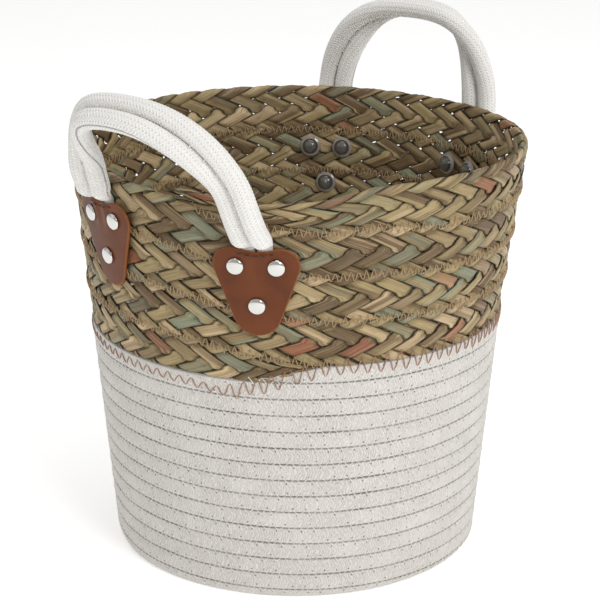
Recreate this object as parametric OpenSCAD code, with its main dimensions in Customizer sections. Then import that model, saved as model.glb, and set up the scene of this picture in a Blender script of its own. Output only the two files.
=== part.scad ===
// Round storage basket with two rope handles.
// The base and the lower wall are one cotton rope, coiled and sewn. The upper wall is a
// flat seagrass plait, wound on top of the rope in four turns. Each handle is a pair of
// cotton ropes whose ends are sewn and riveted under leather patches. The handles stand
// over the front (-Y) and the back (+Y) of the basket, which rests on Z = 0.

/* [Rope wall and base] */
// Outer radius of the wall at its foot
foot_r = 109.5; // [105:0.5:115]
// How much the wall's radius grows for each millimetre of height
flare = 0.09; // [0.07:0.01:0.1]
// Number of rope courses in the wall
rope_courses = 14; // [13:1:15]
// Height of one rope course
rope_pitch = 10; // [9.8:0.1:10.2]
// Thickness of the rope wall and of the base
rope_t = 8; // [7.8:0.1:8.4]

/* [Seagrass plait] */
// Number of turns of the plait
plait_courses = 4; // [4:1:5]
// Width of the plait
plait_w = 26; // [25.5:0.5:27]
// Thickness of the plait
plait_t = 5; // [4:0.5:5.5]

/* [Leather patches] */
// Angle of each patch from the middle of its handle
patch_az = 23.1; // [22.8:0.1:23.4]
// How much higher the front left patch is sewn on
left_lift = 13; // [0:0.5:14]
// How far the front left patch is turned towards the front
left_turn = 2; // [0:0.5:2]
// Height of a patch
patch_h = 52; // [50:0.5:53]
// Thickness of the leather
leather_t = 1.8; // [1.4:0.1:2]
// Number of stitches along the top of a patch
patch_stitches = 5; // [3:1:5]

/* [Rivets] */
// Radius of a rivet's domed head
head_r = 4.8; // [4:0.1:5]
// Radius of a rivet's post
post_r = 1.5; // [1.2:0.1:1.6]

/* [Handles] */
// Diameter of the handle rope
handle_d = 11.4; // [10.5:0.1:11.4]
// Height of a handle's rope middle line above its hinge line
arch_h = 52; // [45:1:60]
// Outward lean of the front handle
front_lean = 30; // [0:1:32]
// Outward lean of the back handle
back_lean = 5; // [0:1:32]

/* [Hidden] */
$fn = 48;

cotton = "#e1ded8";
straw = "#b5a078";
tan_thread = "#a57d64";
leather = "#7c4626";
dark_thread = "#3c2418";

// Wall: its corner heights and its radius at a height
seam_z = rope_courses * rope_pitch;
rim_z = seam_z + plait_courses * plait_w;
function wall_r(z) = foot_r + flare * z;

// Rope: the round courses press into each other and are squeezed to the wall's thickness
rope_r = 0.54 * rope_pitch;
base_gap = 0.1;
base_r = foot_r - rope_t - base_gap;
base_turns = 10;
base_pitch = base_r / (base_turns + 0.5);

// Plait: each course is thinner along its two edges
edge_thin = 0.8;
edge_run = 4;

// Sewing thread: its radius, its sides, and how far out from the rope's middle it lies in a groove
thread_r = 0.45;
thread_sides = 6;
groove_x = 3.25 + flare * rope_pitch / 2;
seam_drop = 0.7;
seam_out = 0.25;

// Patch outline: a round tip, two round shoulders and a hollow top edge between them
tip_r = 13.5;
shoulder_r = 10.5;
shoulder_x = 13.5;
patch_z = rim_z - 78.5;
shoulder_y = patch_h - shoulder_r;
top_dip = 2.2;
dip_r = (pow(shoulder_x, 2) + pow(shoulder_r - top_dip, 2) - pow(shoulder_r, 2)) / (2 * top_dip);
dip_y = patch_h - top_dip + dip_r;
// A patch stands further off the wall towards its top, where the rope ends lie under it
patch_gap = 0.2;
patch_rise = 3.2;
function gap_under(z, lift) = patch_gap + patch_rise * (z - patch_z - lift) / patch_h;
function leather_out(z, lift) = wall_r(z) + gap_under(z, lift) + leather_t;
// Angle and lift of each patch. The one at the front left is sewn on higher than the others.
front_left = [left_turn - patch_az, left_lift];
front_right = [patch_az, 0];
back_left = [180 + patch_az, 0];
back_right = [180 - patch_az, 0];

// Rivets: two above and one below, square to the leather
rivet_az = 4.85;
rivet_high = patch_z + 41;
rivet_low = patch_z + 18;
rivet_tilt = 7;
hole_gap = 0.1;
head_h = 2.1;
head_lift = 0.12;
flange_r = 6.5;
flange_t = 1.2;
back_h = 4.5;
back_r = 4.7;
back_gap = 0.4;
back_bore = post_r + 0.05;
post_seat = 1.5;
bore_depth = 1.9;

// Stitches on a patch
stitch_r = 0.5;
stitch_l = 2.6;
stitch_step = 4.3;
stitch_drop = 2.3;
stitch_lift = 0.15;

// Handles: an arch of two ropes side by side, which lie flat against the wall at the
// feet and turn a quarter round by the top. Each leg bends at a hinge line over the rim,
// which is further out for a handle that leans out further.
rope_half = handle_d / 2;
pair_x = rope_half + 0.1;
hinge_z = rim_z + 4;
function hinge_y(lean) = wall_r(rim_z) - 2 + 0.31 * lean;
arch_x = 53;
arch_flat = 0.75;
arch_sink = 9;
arch_rise = arch_h + arch_sink;
arch_start = asin(arch_sink / arch_rise);
arch_rings = 36;
turn_power = 1.5;
rope_sides = 12;
cap_steps = [75, 50, 25];
hinge_gap = 0.65;
thread_steps = 13;
thread_out = 5.1;
handle_stitch_l = 2.6;

// Rope ends: flat under the leather, round above it
end_z = patch_z + 33.5;
tongue_half = 4.3;
tongue_x = 4.75;
tongue_clear = 0.2;
swell_z = patch_z + patch_h;
swell_h = 7;
end_steps = [0, 2, 8, 14];
swell_steps = 5;
rise_steps = 6;

function mix(a, b, t) = a + (b - a) * t;
function ease(t) = let (c = max(0, min(1, t))) c * c * (3 - 2 * c);
function unit(v) = v / norm(v);
function arc(c, r, from, to, n) = [for (i = [0:n]) let (a = mix(from, to, i / n)) c + r * [cos(a), sin(a)]];

// Places a flat shape against the wall: X runs round the wall, Y up, Z outwards
module on_wall(az) {
    rotate([0, 0, az]) rotate([90, 0, 0]) children();
}

// ---- Rope and plait ----

module base_coil() {
    color(cotton) rotate_extrude() intersection() {
        square([base_r, rope_t]);
        for (i = [0:base_turns]) translate([i * base_pitch, rope_t / 2]) circle(r = 0.54 * base_pitch);
    }
}

module wall_coil() {
    color(cotton) rotate_extrude() intersection() {
        polygon([
            [wall_r(0) - rope_t, 0], [wall_r(0), 0],
            [wall_r(seam_z), seam_z], [wall_r(seam_z) - rope_t, seam_z]
        ]);
        for (i = [0:rope_courses - 1])
            let (z = (i + 0.5) * rope_pitch)
            translate([wall_r(z) - rope_t / 2, z]) circle(r = rope_r);
    }
}

// Outer (side 1) or inner (side 0) edge of one plait course, from its lower to its upper seam
function plait_side(i, side) =
    let (z0 = seam_z + i * plait_w, off = side == 1 ? 0 : plait_t, thin = side == 1 ? -edge_thin : edge_thin)
    [
        [wall_r(z0) - off + thin, z0],
        [wall_r(z0 + edge_run) - off, z0 + edge_run],
        [wall_r(z0 + plait_w - edge_run) - off, z0 + plait_w - edge_run],
        [wall_r(z0 + plait_w) - off + thin, z0 + plait_w]
    ];

// The seam points that two courses share are kept once
function plait_profile(side) = concat(
    [for (i = [0:plait_courses - 1], k = [0:2]) plait_side(i, side)[k]],
    [plait_side(plait_courses - 1, side)[3]]
);
function backwards(list) = [for (i = [len(list) - 1:-1:0]) list[i]];

module seagrass_plait() {
    color(straw) difference() {
        rotate_extrude() polygon(concat(plait_profile(1), backwards(plait_profile(0))));
        for (place = [front_left, front_right, back_left, back_right])
            rivet_places(place) cylinder(r = post_r + hole_gap, h = 40, center = true);
    }
}

// Threads lie in the grooves between courses
module groove_rings(out) {
    for (i = [1:rope_courses - 1])
        let (z = i * rope_pitch)
        translate([wall_r(z) - rope_t / 2 + out, z]) circle(r = thread_r, $fn = thread_sides);
}

module coil_thread() {
    color(cotton) rotate_extrude() {
        groove_rings(groove_x);
        groove_rings(-groove_x);
    }
}

module plait_thread() {
    lie = 0.42;
    fine_r = 0.35;
    color(straw) rotate_extrude()
        for (i = [1:plait_courses - 1])
            let (z = seam_z + i * plait_w)
            translate([wall_r(z) - lie, z]) circle(r = fine_r, $fn = thread_sides);
}

module seam_thread() {
    z = seam_z - seam_drop;
    color(tan_thread) rotate_extrude()
        translate([wall_r(z) + seam_out, z]) circle(r = thread_r, $fn = thread_sides);
}

// ---- Patches ----

// Direction of the straight side's outward normal, from the two circles that it joins
side_run = [shoulder_x, shoulder_y - tip_r];
side_normal = atan2(side_run.y, side_run.x) - acos((tip_r - shoulder_r) / norm(side_run));
dip_angle = atan2(dip_y - shoulder_y, shoulder_x);

function half_outline() = concat(
    arc([0, tip_r], tip_r, -90, side_normal, 8),
    arc([shoulder_x, shoulder_y], shoulder_r, side_normal, 180 - dip_angle, 14),
    [for (p = arc([0, dip_y], dip_r, dip_angle, 90, 5)) if (p.x > 0.01) [p.x, 2 * dip_y - p.y]]
);

module patch(place) {
    half = half_outline();
    left = [for (i = [len(half) - 1:-1:1]) [-half[i].x, half[i].y]];
    lift = place[1];
    top = patch_z + lift + patch_h + 1;
    low = patch_z + lift - 1;
    color(leather) difference() {
        intersection() {
            on_wall(place[0]) translate([0, patch_z + lift, foot_r]) linear_extrude(height = 40)
                polygon(concat(half, left));
            rotate_extrude() polygon([
                [leather_out(low, lift) - leather_t, low], [leather_out(low, lift), low],
                [leather_out(top, lift), top], [leather_out(top, lift) - leather_t, top]
            ]);
        }
        rivet_places(place) cylinder(r = post_r + hole_gap, h = 40, center = true);
    }
}

module stitches(place) {
    mid = (patch_stitches - 1) / 2;
    color(dark_thread) for (i = [0:patch_stitches - 1]) {
        x = (i - mid) * stitch_step;
        z = patch_z + place[1] + dip_y - sqrt(dip_r * dip_r - x * x) - stitch_drop;
        r = leather_out(z, place[1]) + stitch_r + stitch_lift;
        on_wall(place[0] + x / r * 180 / PI) translate([0, z, r]) rotate([0, 90, 0])
            cylinder(r = stitch_r, h = stitch_l, center = true, $fn = 16);
    }
}

// ---- Rivets: children are drawn at each rivet, Z outwards, from the leather's face ----

module rivet_places(place) {
    for (p = [[-rivet_az, rivet_high], [rivet_az, rivet_high], [0, rivet_low]])
        let (z = p[1] + place[1])
        on_wall(place[0] + p[0]) translate([0, z, leather_out(z, place[1])]) rotate([rivet_tilt, 0, 0]) children();
}

// How deep the inner face of the wall lies under the leather's outer face
function wall_depth(z) = gap_under(z, 0) + leather_t + plait_t + back_gap;

module rivets(place) {
    dome = (head_r * head_r + head_h * head_h) / (2 * head_h);
    for (p = [[-rivet_az, rivet_high], [rivet_az, rivet_high], [0, rivet_low]]) {
        depth = wall_depth(p[1]) + post_seat;
        z = p[1] + place[1];
        color("silver") on_wall(place[0] + p[0]) translate([0, z, leather_out(z, place[1])]) rotate([rivet_tilt, 0, 0]) {
            translate([0, 0, head_lift]) intersection() {
                translate([0, 0, head_h - dome]) sphere(r = dome, $fn = 64);
                cylinder(r = head_r, h = head_h + 1);
            }
            translate([0, 0, -depth]) cylinder(r = post_r, h = depth + head_lift + 0.5);
        }
    }
}

module rivet_backs(place) {
    rise = back_h - flange_t;
    dome = (back_r * back_r + rise * rise) / (2 * rise);
    for (p = [[-rivet_az, rivet_high], [rivet_az, rivet_high], [0, rivet_low]]) {
        depth = wall_depth(p[1]);
        z = p[1] + place[1];
        color("white") on_wall(place[0] + p[0]) translate([0, z, leather_out(z, place[1])]) rotate([rivet_tilt, 0, 0])
            translate([0, 0, -depth]) mirror([0, 0, 1]) difference() {
                union() {
                    cylinder(r = flange_r, h = flange_t);
                    intersection() {
                        translate([0, 0, back_h - dome]) sphere(r = dome, $fn = 64);
                        translate([0, 0, flange_t / 2]) cylinder(r = back_r, h = back_h);
                    }
                }
                translate([0, 0, -1]) cylinder(r = back_bore, h = 1 + bore_depth);
            }
    }
}

// ---- Rope sweeps ----

// A ring of points round c, with half-widths a along u and b along v
function ring(c, u, v, a, b) =
    [for (k = [0:rope_sides - 1]) c + u * a * cos(360 * k / rope_sides) + v * b * sin(360 * k / rope_sides)];

module sweep(rings) {
    n = rope_sides;
    last = (len(rings) - 1) * n;
    walls = [for (i = [0:len(rings) - 2], k = [0:n - 1], half = [0, 1])
        let (a = i * n + k, b = i * n + (k + 1) % n)
        half == 0 ? [a, a + n, b + n] : [a, b + n, b]];
    polyhedron(
        points = [for (r = rings) each r],
        faces = concat([[for (k = [0:n - 1]) k]], walls, [[for (k = [n - 1:-1:0]) last + k]]),
        convexity = 4
    );
}

// Rope end under a patch that is mid degrees from the middle and lifted: its middle and
// half-widths at height z, for the rope on one side of the pair
function swell(z, lift) = ease((z - swell_z - lift) / swell_h);
function end_half(z, lift) = mix(tongue_half, rope_half, swell(z, lift));
function end_depth(z, lift) =
    mix((gap_under(min(z, swell_z + lift), lift) - 2 * tongue_clear) / 2, rope_half, swell(z, lift));
function end_ring(z, pair, lean, mid, lift) =
    let (
        az = mid + pair * mix(tongue_x, pair_x, swell(z, lift)) / wall_r(z) * 180 / PI,
        r = wall_r(z) + tongue_clear + end_depth(z, lift),
        top = hinge_z - rope_half - hinge_gap,
        t = ease((z - swell_z - lift) / (top - swell_z - lift)),
        turn = az * (1 - t),
        c = mix([r * sin(az), -r * cos(az), z], [arch_x * cos(arch_start) + pair * pair_x, -hinge_y(lean), z], t)
    )
    ring(c, [cos(turn), sin(turn), 0], [-sin(turn), cos(turn), 0], end_half(z, lift), end_depth(z, lift));

module rope_ends(lean, mid = patch_az, lift = 0) {
    top = hinge_z - rope_half - hinge_gap;
    heights = concat(
        [for (s = end_steps) end_z + lift + s],
        [for (i = [0:swell_steps]) swell_z + lift + i / swell_steps * swell_h],
        [for (i = [1:rise_steps]) mix(swell_z + lift + swell_h, top, i / rise_steps)]
    );
    color(cotton) for (pair = [-1, 1]) sweep([for (z = heights) end_ring(z, pair, lean, mid, lift)]);
}

// Handle: place of the arch's middle line, and the direction from it to a rope, at p from 0 to 1
function arch_angle(p) = mix(arch_start, 180 - arch_start, p);
// The arch is fuller at its shoulders than an ellipse, and its top sways to one side
function arch_sway(lean) = 2.8 + 0.24 * lean;
// A handle that leans far out is drawn in at its left shoulder, where its patch is higher
shoulder_pull = [4, 7, -5];
function drawn(lean) = max(0, lean - 10) / 20;
function pull(p, lean) = drawn(lean) * exp(-pow((p - 0.2) / 0.2, 2)) * ease(p / 0.12) * shoulder_pull;
function arch_point(p, lean) =
    let (
        a = arch_angle(p),
        h = arch_rise * sin(a) - arch_sink,
        c = cos(a) / cos(arch_start),
        x = arch_x * cos(arch_start) * sign(c) * pow(abs(c), arch_flat)
    )
    [-x - arch_sway(lean) * pow(h / arch_h, 2), -hinge_y(lean) - h * sin(lean), hinge_z + h * cos(lean)]
        + pull(p, lean);
function arch_along(p, lean) = unit(arch_point(p + 0.001, lean) - arch_point(p - 0.001, lean));
// A leg's own direction at its foot is square to the hinge line, so that the foot turns in place
function leg_up(p, lean) = (p < 0.5 ? 1 : -1) * [0, -sin(lean), cos(lean)];
function arch_side(p, lean) =
    let (
        tilt = [0, -cos(lean), -sin(lean)],
        along = unit(mix(leg_up(p, lean), arch_along(p, lean), min(1, 2 * sin(180 * p)))),
        early = p < 0.5 ? drawn(lean) * ease(p / 0.5) : 0,
        turn = 90 * max(pow(max(0, sin(180 * p)), turn_power), early)
    )
    -cross(along, tilt) * cos(turn) - tilt * sin(turn);
function rope_point(p, lean, side) = arch_point(p, lean) + side * pair_x * arch_side(p, lean);
function rope_along(p, lean, side) =
    p <= 0 ? [0, -sin(lean), cos(lean)] :
    p >= 1 ? [0, sin(lean), -cos(lean)] :
    unit(rope_point(p + 0.001, lean, side) - rope_point(p - 0.001, lean, side));
function rope_ring(c, t, lean, r) =
    let (ref = [0, -cos(lean), -sin(lean)], u = unit(ref - t * (ref * t)))
    ring(c, u, cross(t, u), r, r);

module handle_rope(lean, side) {
    first = rope_point(0, lean, side);
    last = rope_point(1, lean, side);
    start = rope_along(0, lean, side);
    stop = rope_along(1, lean, side);
    color(cotton) sweep(concat(
        [for (a = cap_steps)
            rope_ring(first - start * rope_half * sin(a), start, lean, rope_half * cos(a))],
        [for (i = [0:arch_rings]) let (p = i / arch_rings)
            rope_ring(rope_point(p, lean, side), rope_along(p, lean, side), lean, rope_half)],
        [for (i = [len(cap_steps) - 1:-1:0]) let (a = cap_steps[i])
            rope_ring(last + stop * rope_half * sin(a), stop, lean, rope_half * cos(a))]
    ));
}

// Short stitches across both grooves between the two ropes
module handle_thread(lean) {
    color(cotton) for (i = [1:thread_steps], face = [-1, 1]) {
        p = i / (thread_steps + 1);
        t = arch_along(p, lean);
        s = arch_side(p, lean);
        n = cross(t, s);
        c = arch_point(p, lean) + face * thread_out * n;
        multmatrix([
            [t.x, n.x, s.x, c.x],
            [t.y, n.y, s.y, c.y],
            [t.z, n.z, s.z, c.z],
            [0, 0, 0, 1]
        ]) cylinder(r = thread_r, h = handle_stitch_l, center = true, $fn = 16);
    }
}

// The front is drawn as it stands, the back is turned half round
module at_back() {
    rotate([0, 0, 180]) children();
}

module to_left() {
    mirror([1, 0, 0]) children();
}

// Left and right are as seen from in front, so the back's own right is the basket's left
base_coil();
wall_coil();
seagrass_plait();
coil_thread();
plait_thread();
seam_thread();
patch(front_left);  // front_left_patch
patch(front_right);  // front_right_patch
patch(back_left);  // back_left_patch
patch(back_right);  // back_right_patch
stitches(front_left);  // front_left_stitches
stitches(front_right);  // front_right_stitches
stitches(back_left);  // back_left_stitches
stitches(back_right);  // back_right_stitches
rivets(front_left);  // front_left_rivets
rivets(front_right);  // front_right_rivets
rivets(back_left);  // back_left_rivets
rivets(back_right);  // back_right_rivets
rivet_backs(front_left);  // front_left_rivet_backs
rivet_backs(front_right);  // front_right_rivet_backs
rivet_backs(back_left);  // back_left_rivet_backs
rivet_backs(back_right);  // back_right_rivet_backs
to_left() rope_ends(front_lean, patch_az - left_turn, left_lift);  // front_left_rope_ends
rope_ends(front_lean);  // front_right_rope_ends
at_back() rope_ends(back_lean);  // back_left_rope_ends
at_back() to_left() rope_ends(back_lean);  // back_right_rope_ends
handle_rope(front_lean, 1);  // front_handle_outer_rope
handle_rope(front_lean, -1);  // front_handle_inner_rope
handle_thread(front_lean);  // front_handle_thread
at_back() handle_rope(back_lean, 1);  // back_handle_outer_rope
at_back() handle_rope(back_lean, -1);  // back_handle_inner_rope
at_back() handle_thread(back_lean);  // back_handle_thread
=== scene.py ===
"""Round storage basket: coiled cotton cord below, a wound seagrass plait above.

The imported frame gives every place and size. This script dresses it: the cord, the
plait, the sewing threads and the rivets are made by geometry node trees that follow
the basket's wall, and the leather patches are built point by point.
"""

from __future__ import annotations

import logging
import math
import sys
from dataclasses import dataclass
from enum import Enum
from typing import Callable, Union

import bpy
from mathutils import Matrix, Vector

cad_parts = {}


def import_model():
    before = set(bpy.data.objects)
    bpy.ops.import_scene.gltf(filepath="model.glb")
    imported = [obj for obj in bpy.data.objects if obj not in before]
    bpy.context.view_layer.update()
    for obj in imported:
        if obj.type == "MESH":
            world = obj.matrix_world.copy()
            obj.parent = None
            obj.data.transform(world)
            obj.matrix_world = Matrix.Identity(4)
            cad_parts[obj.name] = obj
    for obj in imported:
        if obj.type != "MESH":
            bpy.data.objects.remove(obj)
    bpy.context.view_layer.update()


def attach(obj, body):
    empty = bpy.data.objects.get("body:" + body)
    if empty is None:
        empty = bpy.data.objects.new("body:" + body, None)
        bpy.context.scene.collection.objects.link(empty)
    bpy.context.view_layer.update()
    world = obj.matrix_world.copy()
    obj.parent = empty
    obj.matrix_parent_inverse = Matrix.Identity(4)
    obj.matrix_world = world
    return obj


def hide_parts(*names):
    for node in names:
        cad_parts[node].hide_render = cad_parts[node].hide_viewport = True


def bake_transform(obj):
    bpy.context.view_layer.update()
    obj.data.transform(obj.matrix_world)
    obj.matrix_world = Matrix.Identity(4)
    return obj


LOG = logging.getLogger("basket")
MM = 0.001
TAU = 2 * math.pi
SEED = 11
NEEDLE_STEP = 7.3  # millimetres from one needle hole of the cord's seam to the next


def linear(code: str) -> tuple[float, float, float, float]:
    """Turn an sRGB hex colour into linear light.

    Args:
        code: The colour, such as "#e1ded8".

    Returns:
        Red, green and blue in linear light, and an alpha of one.
    """
    parts = [int(code[i : i + 2], 16) / 255 for i in (1, 3, 5)]
    light = [c / 12.92 if c <= 0.04045 else ((c + 0.055) / 1.055) ** 2.4 for c in parts]
    return (light[0], light[1], light[2], 1.0)


# ---------------------------------------------------------------- node trees


def add_node(
    tree: bpy.types.NodeTree,
    kind: str,
    settings: dict | None = None,
    inputs: dict | None = None,
) -> bpy.types.Node:
    """Add a node with its settings and links.

    Args:
        tree: The tree that gets the node.
        kind: The node's type name.
        settings: Properties of the node itself.
        inputs: Sockets by name or number, each with a constant, a socket or a Wire.

    Returns:
        The new node.
    """
    node = tree.nodes.new(kind)
    for key, value in (settings or {}).items():
        setattr(node, key, value)
    for key, value in (inputs or {}).items():
        if isinstance(value, Wire):
            value = value.socket
        if isinstance(value, bpy.types.NodeSocket):
            tree.links.new(value, node.inputs[key])
        else:
            node.inputs[key].default_value = value
    return node


class Wire:
    """A number that flows through a node tree, with plain arithmetic."""

    def __init__(self, socket: bpy.types.NodeSocket) -> None:
        """Keep the socket that the number comes from."""
        self.socket = socket

    def math(self, operation: str, *others: Number) -> Wire:
        """Work out one step of arithmetic.

        Args:
            operation: The name of the step, such as "SINE".
            others: The other numbers that it takes.

        Returns:
            The result.
        """
        values = dict(enumerate((self, *others)))
        node = add_node(self.socket.id_data, "ShaderNodeMath", {"operation": operation}, values)
        return Wire(node.outputs[0])

    def ramp(self, low: Number, high: Number, smooth: bool = True) -> Wire:
        """Rise from 0 at low to 1 at high, and stay there.

        Args:
            low: Where the rise begins.
            high: Where the rise ends.
            smooth: Whether it eases in and out.

        Returns:
            The share, from 0 to 1.
        """
        kind = {"interpolation_type": "SMOOTHSTEP" if smooth else "LINEAR"}
        ends = {"Value": self, "From Min": low, "From Max": high}
        node = add_node(self.socket.id_data, "ShaderNodeMapRange", kind, ends)
        return Wire(node.outputs[0])

    def mix(self, a: Number, b: Number) -> Wire:
        """Go from a, where this number is 0, to b, where it is 1.

        Args:
            a: The first number.
            b: The second number.

        Returns:
            The number between them.
        """
        ends = {"Value": self, "To Min": a, "To Max": b}
        node = add_node(self.socket.id_data, "ShaderNodeMapRange", {"clamp": False}, ends)
        return Wire(node.outputs[0])

    def __add__(self, other: Number) -> Wire:
        """Add."""
        return self.math("ADD", other)

    def __sub__(self, other: Number) -> Wire:
        """Subtract."""
        return self.math("SUBTRACT", other)

    def __rsub__(self, other: float) -> Wire:
        """Subtract this from a constant."""
        return self.math("MULTIPLY_ADD", -1.0, other)

    def __mul__(self, other: Number) -> Wire:
        """Multiply."""
        return self.math("MULTIPLY", other)

    def __truediv__(self, other: Number) -> Wire:
        """Divide."""
        return self.math("DIVIDE", other)

    __radd__ = __add__
    __rmul__ = __mul__


Number = Union[Wire, float]
Place = tuple[Number, Number, Number]


def joined(tree: bpy.types.NodeTree, place: Place) -> bpy.types.NodeSocket:
    """Join three numbers into one vector socket."""
    return add_node(tree, "ShaderNodeCombineXYZ", None, dict(enumerate(place))).outputs[0]


def parted(tree: bpy.types.NodeTree, vector: bpy.types.NodeSocket) -> list[Wire]:
    """Part a vector socket into its three numbers."""
    node = add_node(tree, "ShaderNodeSeparateXYZ", None, {0: vector})
    return [Wire(socket) for socket in node.outputs]


class Recipe:
    """A geometry node tree with named inputs, which makes plain meshes."""

    def __init__(self, name: str, **sizes: float) -> None:
        """Make the empty tree.

        Args:
            name: What the tree makes.
            sizes: The named inputs, with their usual values.
        """
        self.tree = bpy.data.node_groups.new(name, "GeometryNodeTree")
        face = self.tree.interface
        face.new_socket("Geometry", in_out="OUTPUT", socket_type="NodeSocketGeometry")
        face.new_socket("Geometry", in_out="INPUT", socket_type="NodeSocketGeometry")
        self.keys: dict[str, str] = {}
        for label, value in sizes.items():
            kind = "NodeSocketInt" if isinstance(value, int) else "NodeSocketFloat"
            socket = face.new_socket(label, in_out="INPUT", socket_type=kind)
            socket.default_value = value
            self.keys[label] = socket.identifier
        for label in ("material", "item"):
            kind = "NodeSocketMaterial" if label == "material" else "NodeSocketObject"
            self.keys[label] = face.new_socket(label, in_out="INPUT", socket_type=kind).identifier
        self.source = self.tree.nodes.new("NodeGroupInput")

    def __getitem__(self, label: str) -> Wire:
        """Give a named input as a number."""
        return Wire(self.source.outputs[label])

    def node(self, kind: str, settings: dict | None = None, **inputs: object) -> bpy.types.Node:
        """Add a node, whose inputs are named with underscores for spaces."""
        named = {key.replace("_", " "): value for key, value in inputs.items()}
        return add_node(self.tree, kind, settings, named)

    def bar(self, sides: Number, rings: Number) -> tuple[bpy.types.NodeSocket, Wire, Wire, Wire]:
        """Start from a straight bar, closed at both ends.

        Args:
            sides: Points round the bar.
            rings: Steps along the bar.

        Returns:
            The mesh, how far along it a point is from 0 to 1, and its cosine and sine round it.
        """
        shape = {"Vertices": sides, "Side Segments": rings, "Radius": 1.0, "Depth": 1.0}
        mesh = add_node(self.tree, "GeometryNodeMeshCylinder", {"fill_type": "NGON"}, shape)
        across, up, along = parted(self.tree, self.node("GeometryNodeInputPosition").outputs[0])
        return mesh.outputs["Mesh"], along + 0.5, across, up

    def line(self, steps: Number) -> tuple[bpy.types.NodeSocket, Wire]:
        """Start from a row of points.

        Args:
            steps: How many points.

        Returns:
            The curve, and how far along it a point is from 0 to 1.
        """
        start = add_node(self.tree, "GeometryNodeCurvePrimitiveLine", None, {"End": (1, 0, 0)})
        curve = self.node("GeometryNodeResampleCurve", None, Curve=start.outputs[0], Count=steps)
        along = parted(self.tree, self.node("GeometryNodeInputPosition").outputs[0])[0]
        return curve.outputs[0], along

    def move(self, mesh: bpy.types.NodeSocket, place: Place) -> bpy.types.NodeSocket:
        """Put every point at a place."""
        spot = joined(self.tree, place)
        return self.node("GeometryNodeSetPosition", None, Geometry=mesh, Position=spot).outputs[0]

    def keep(self, mesh: bpy.types.NodeSocket, label: str, place: Place) -> bpy.types.NodeSocket:
        """Store three numbers on the points, for the material to read.

        Args:
            mesh: The mesh that carries them.
            label: The attribute's name.
            place: The three numbers.

        Returns:
            The mesh, with its attribute.
        """
        kind = {"data_type": "FLOAT_VECTOR", "domain": "POINT"}
        values = {"Geometry": mesh, "Name": label, "Value": joined(self.tree, place)}
        return self.node("GeometryNodeStoreNamedAttribute", kind, **values).outputs[0]

    def roughen(self, mesh: bpy.types.NodeSocket, size: float, depth: Number) -> bpy.types.NodeSocket:
        """Push points in and out by a noise.

        Args:
            mesh: The mesh to push.
            size: How wide a bump is, in metres.
            depth: How far the noise reaches, in metres.

        Returns:
            The mesh, roughened.
        """
        spot = self.node("GeometryNodeInputPosition").outputs[0]
        noise = self.node("ShaderNodeTexNoise", None, Vector=spot, Scale=1 / size, Detail=1.0)
        push = (Wire(noise.outputs[0]) - 0.5) * depth * 2
        normal = self.node("GeometryNodeInputNormal").outputs[0]
        pushed = {0: normal, "Scale": push}
        offset = add_node(self.tree, "ShaderNodeVectorMath", {"operation": "SCALE"}, pushed).outputs[0]
        return self.node("GeometryNodeSetPosition", None, Geometry=mesh, Offset=offset).outputs[0]

    def close(self, mesh: bpy.types.NodeSocket) -> Recipe:
        """End the tree with real geometry, smooth and with its material.

        Args:
            mesh: What the tree has made.

        Returns:
            This recipe, ready to make pieces.
        """
        real = self.node("GeometryNodeRealizeInstances", None, Geometry=mesh)
        smooth = self.node("GeometryNodeSetShadeSmooth", None, Geometry=real.outputs[0])
        dressed = self.node("GeometryNodeSetMaterial", None, Geometry=smooth.outputs[0])
        self.tree.links.new(self.source.outputs["material"], dressed.inputs["Material"])
        end = self.tree.nodes.new("NodeGroupOutput")
        self.tree.links.new(dressed.outputs[0], end.inputs[0])
        return self

    def make(
        self,
        name: str,
        material: bpy.types.Material,
        base: bpy.types.Mesh | None = None,
        **sizes: float | bpy.types.Object,
    ) -> bpy.types.Object:
        """Make one plain mesh object.

        Args:
            name: The object's name.
            material: What it is made of.
            base: Points that the tree starts from, if it needs any.
            sizes: Named inputs that differ from their usual values.

        Returns:
            The object, with no modifier left.
        """
        piece = bpy.data.objects.new(name, base or bpy.data.meshes.new(name))
        bpy.context.scene.collection.objects.link(piece)
        modifier = piece.modifiers.new("Recipe", "NODES")
        modifier.node_group = self.tree
        for label, value in {**sizes, "material": material}.items():
            modifier[self.keys[label]] = value
        depsgraph = bpy.context.evaluated_depsgraph_get()
        mesh = bpy.data.meshes.new_from_object(piece.evaluated_get(depsgraph))
        piece.modifiers.remove(modifier)
        piece.data = mesh
        mesh.name = name
        return piece


# ---------------------------------------------------------------- the basket's wall


@dataclass(frozen=True)
class Bump:
    """A soft swelling round an angle, both in degrees, as high as its size in metres."""

    middle: float
    reach: float
    size: float

    def at(self, angle: Wire) -> Wire:
        """The swelling's height at an angle: its size in the middle, and 0 past its reach."""
        turned = (angle - math.radians(self.middle)).math("COSINE")
        return turned.ramp(math.cos(math.radians(self.reach)), 1.0) * self.size


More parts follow.
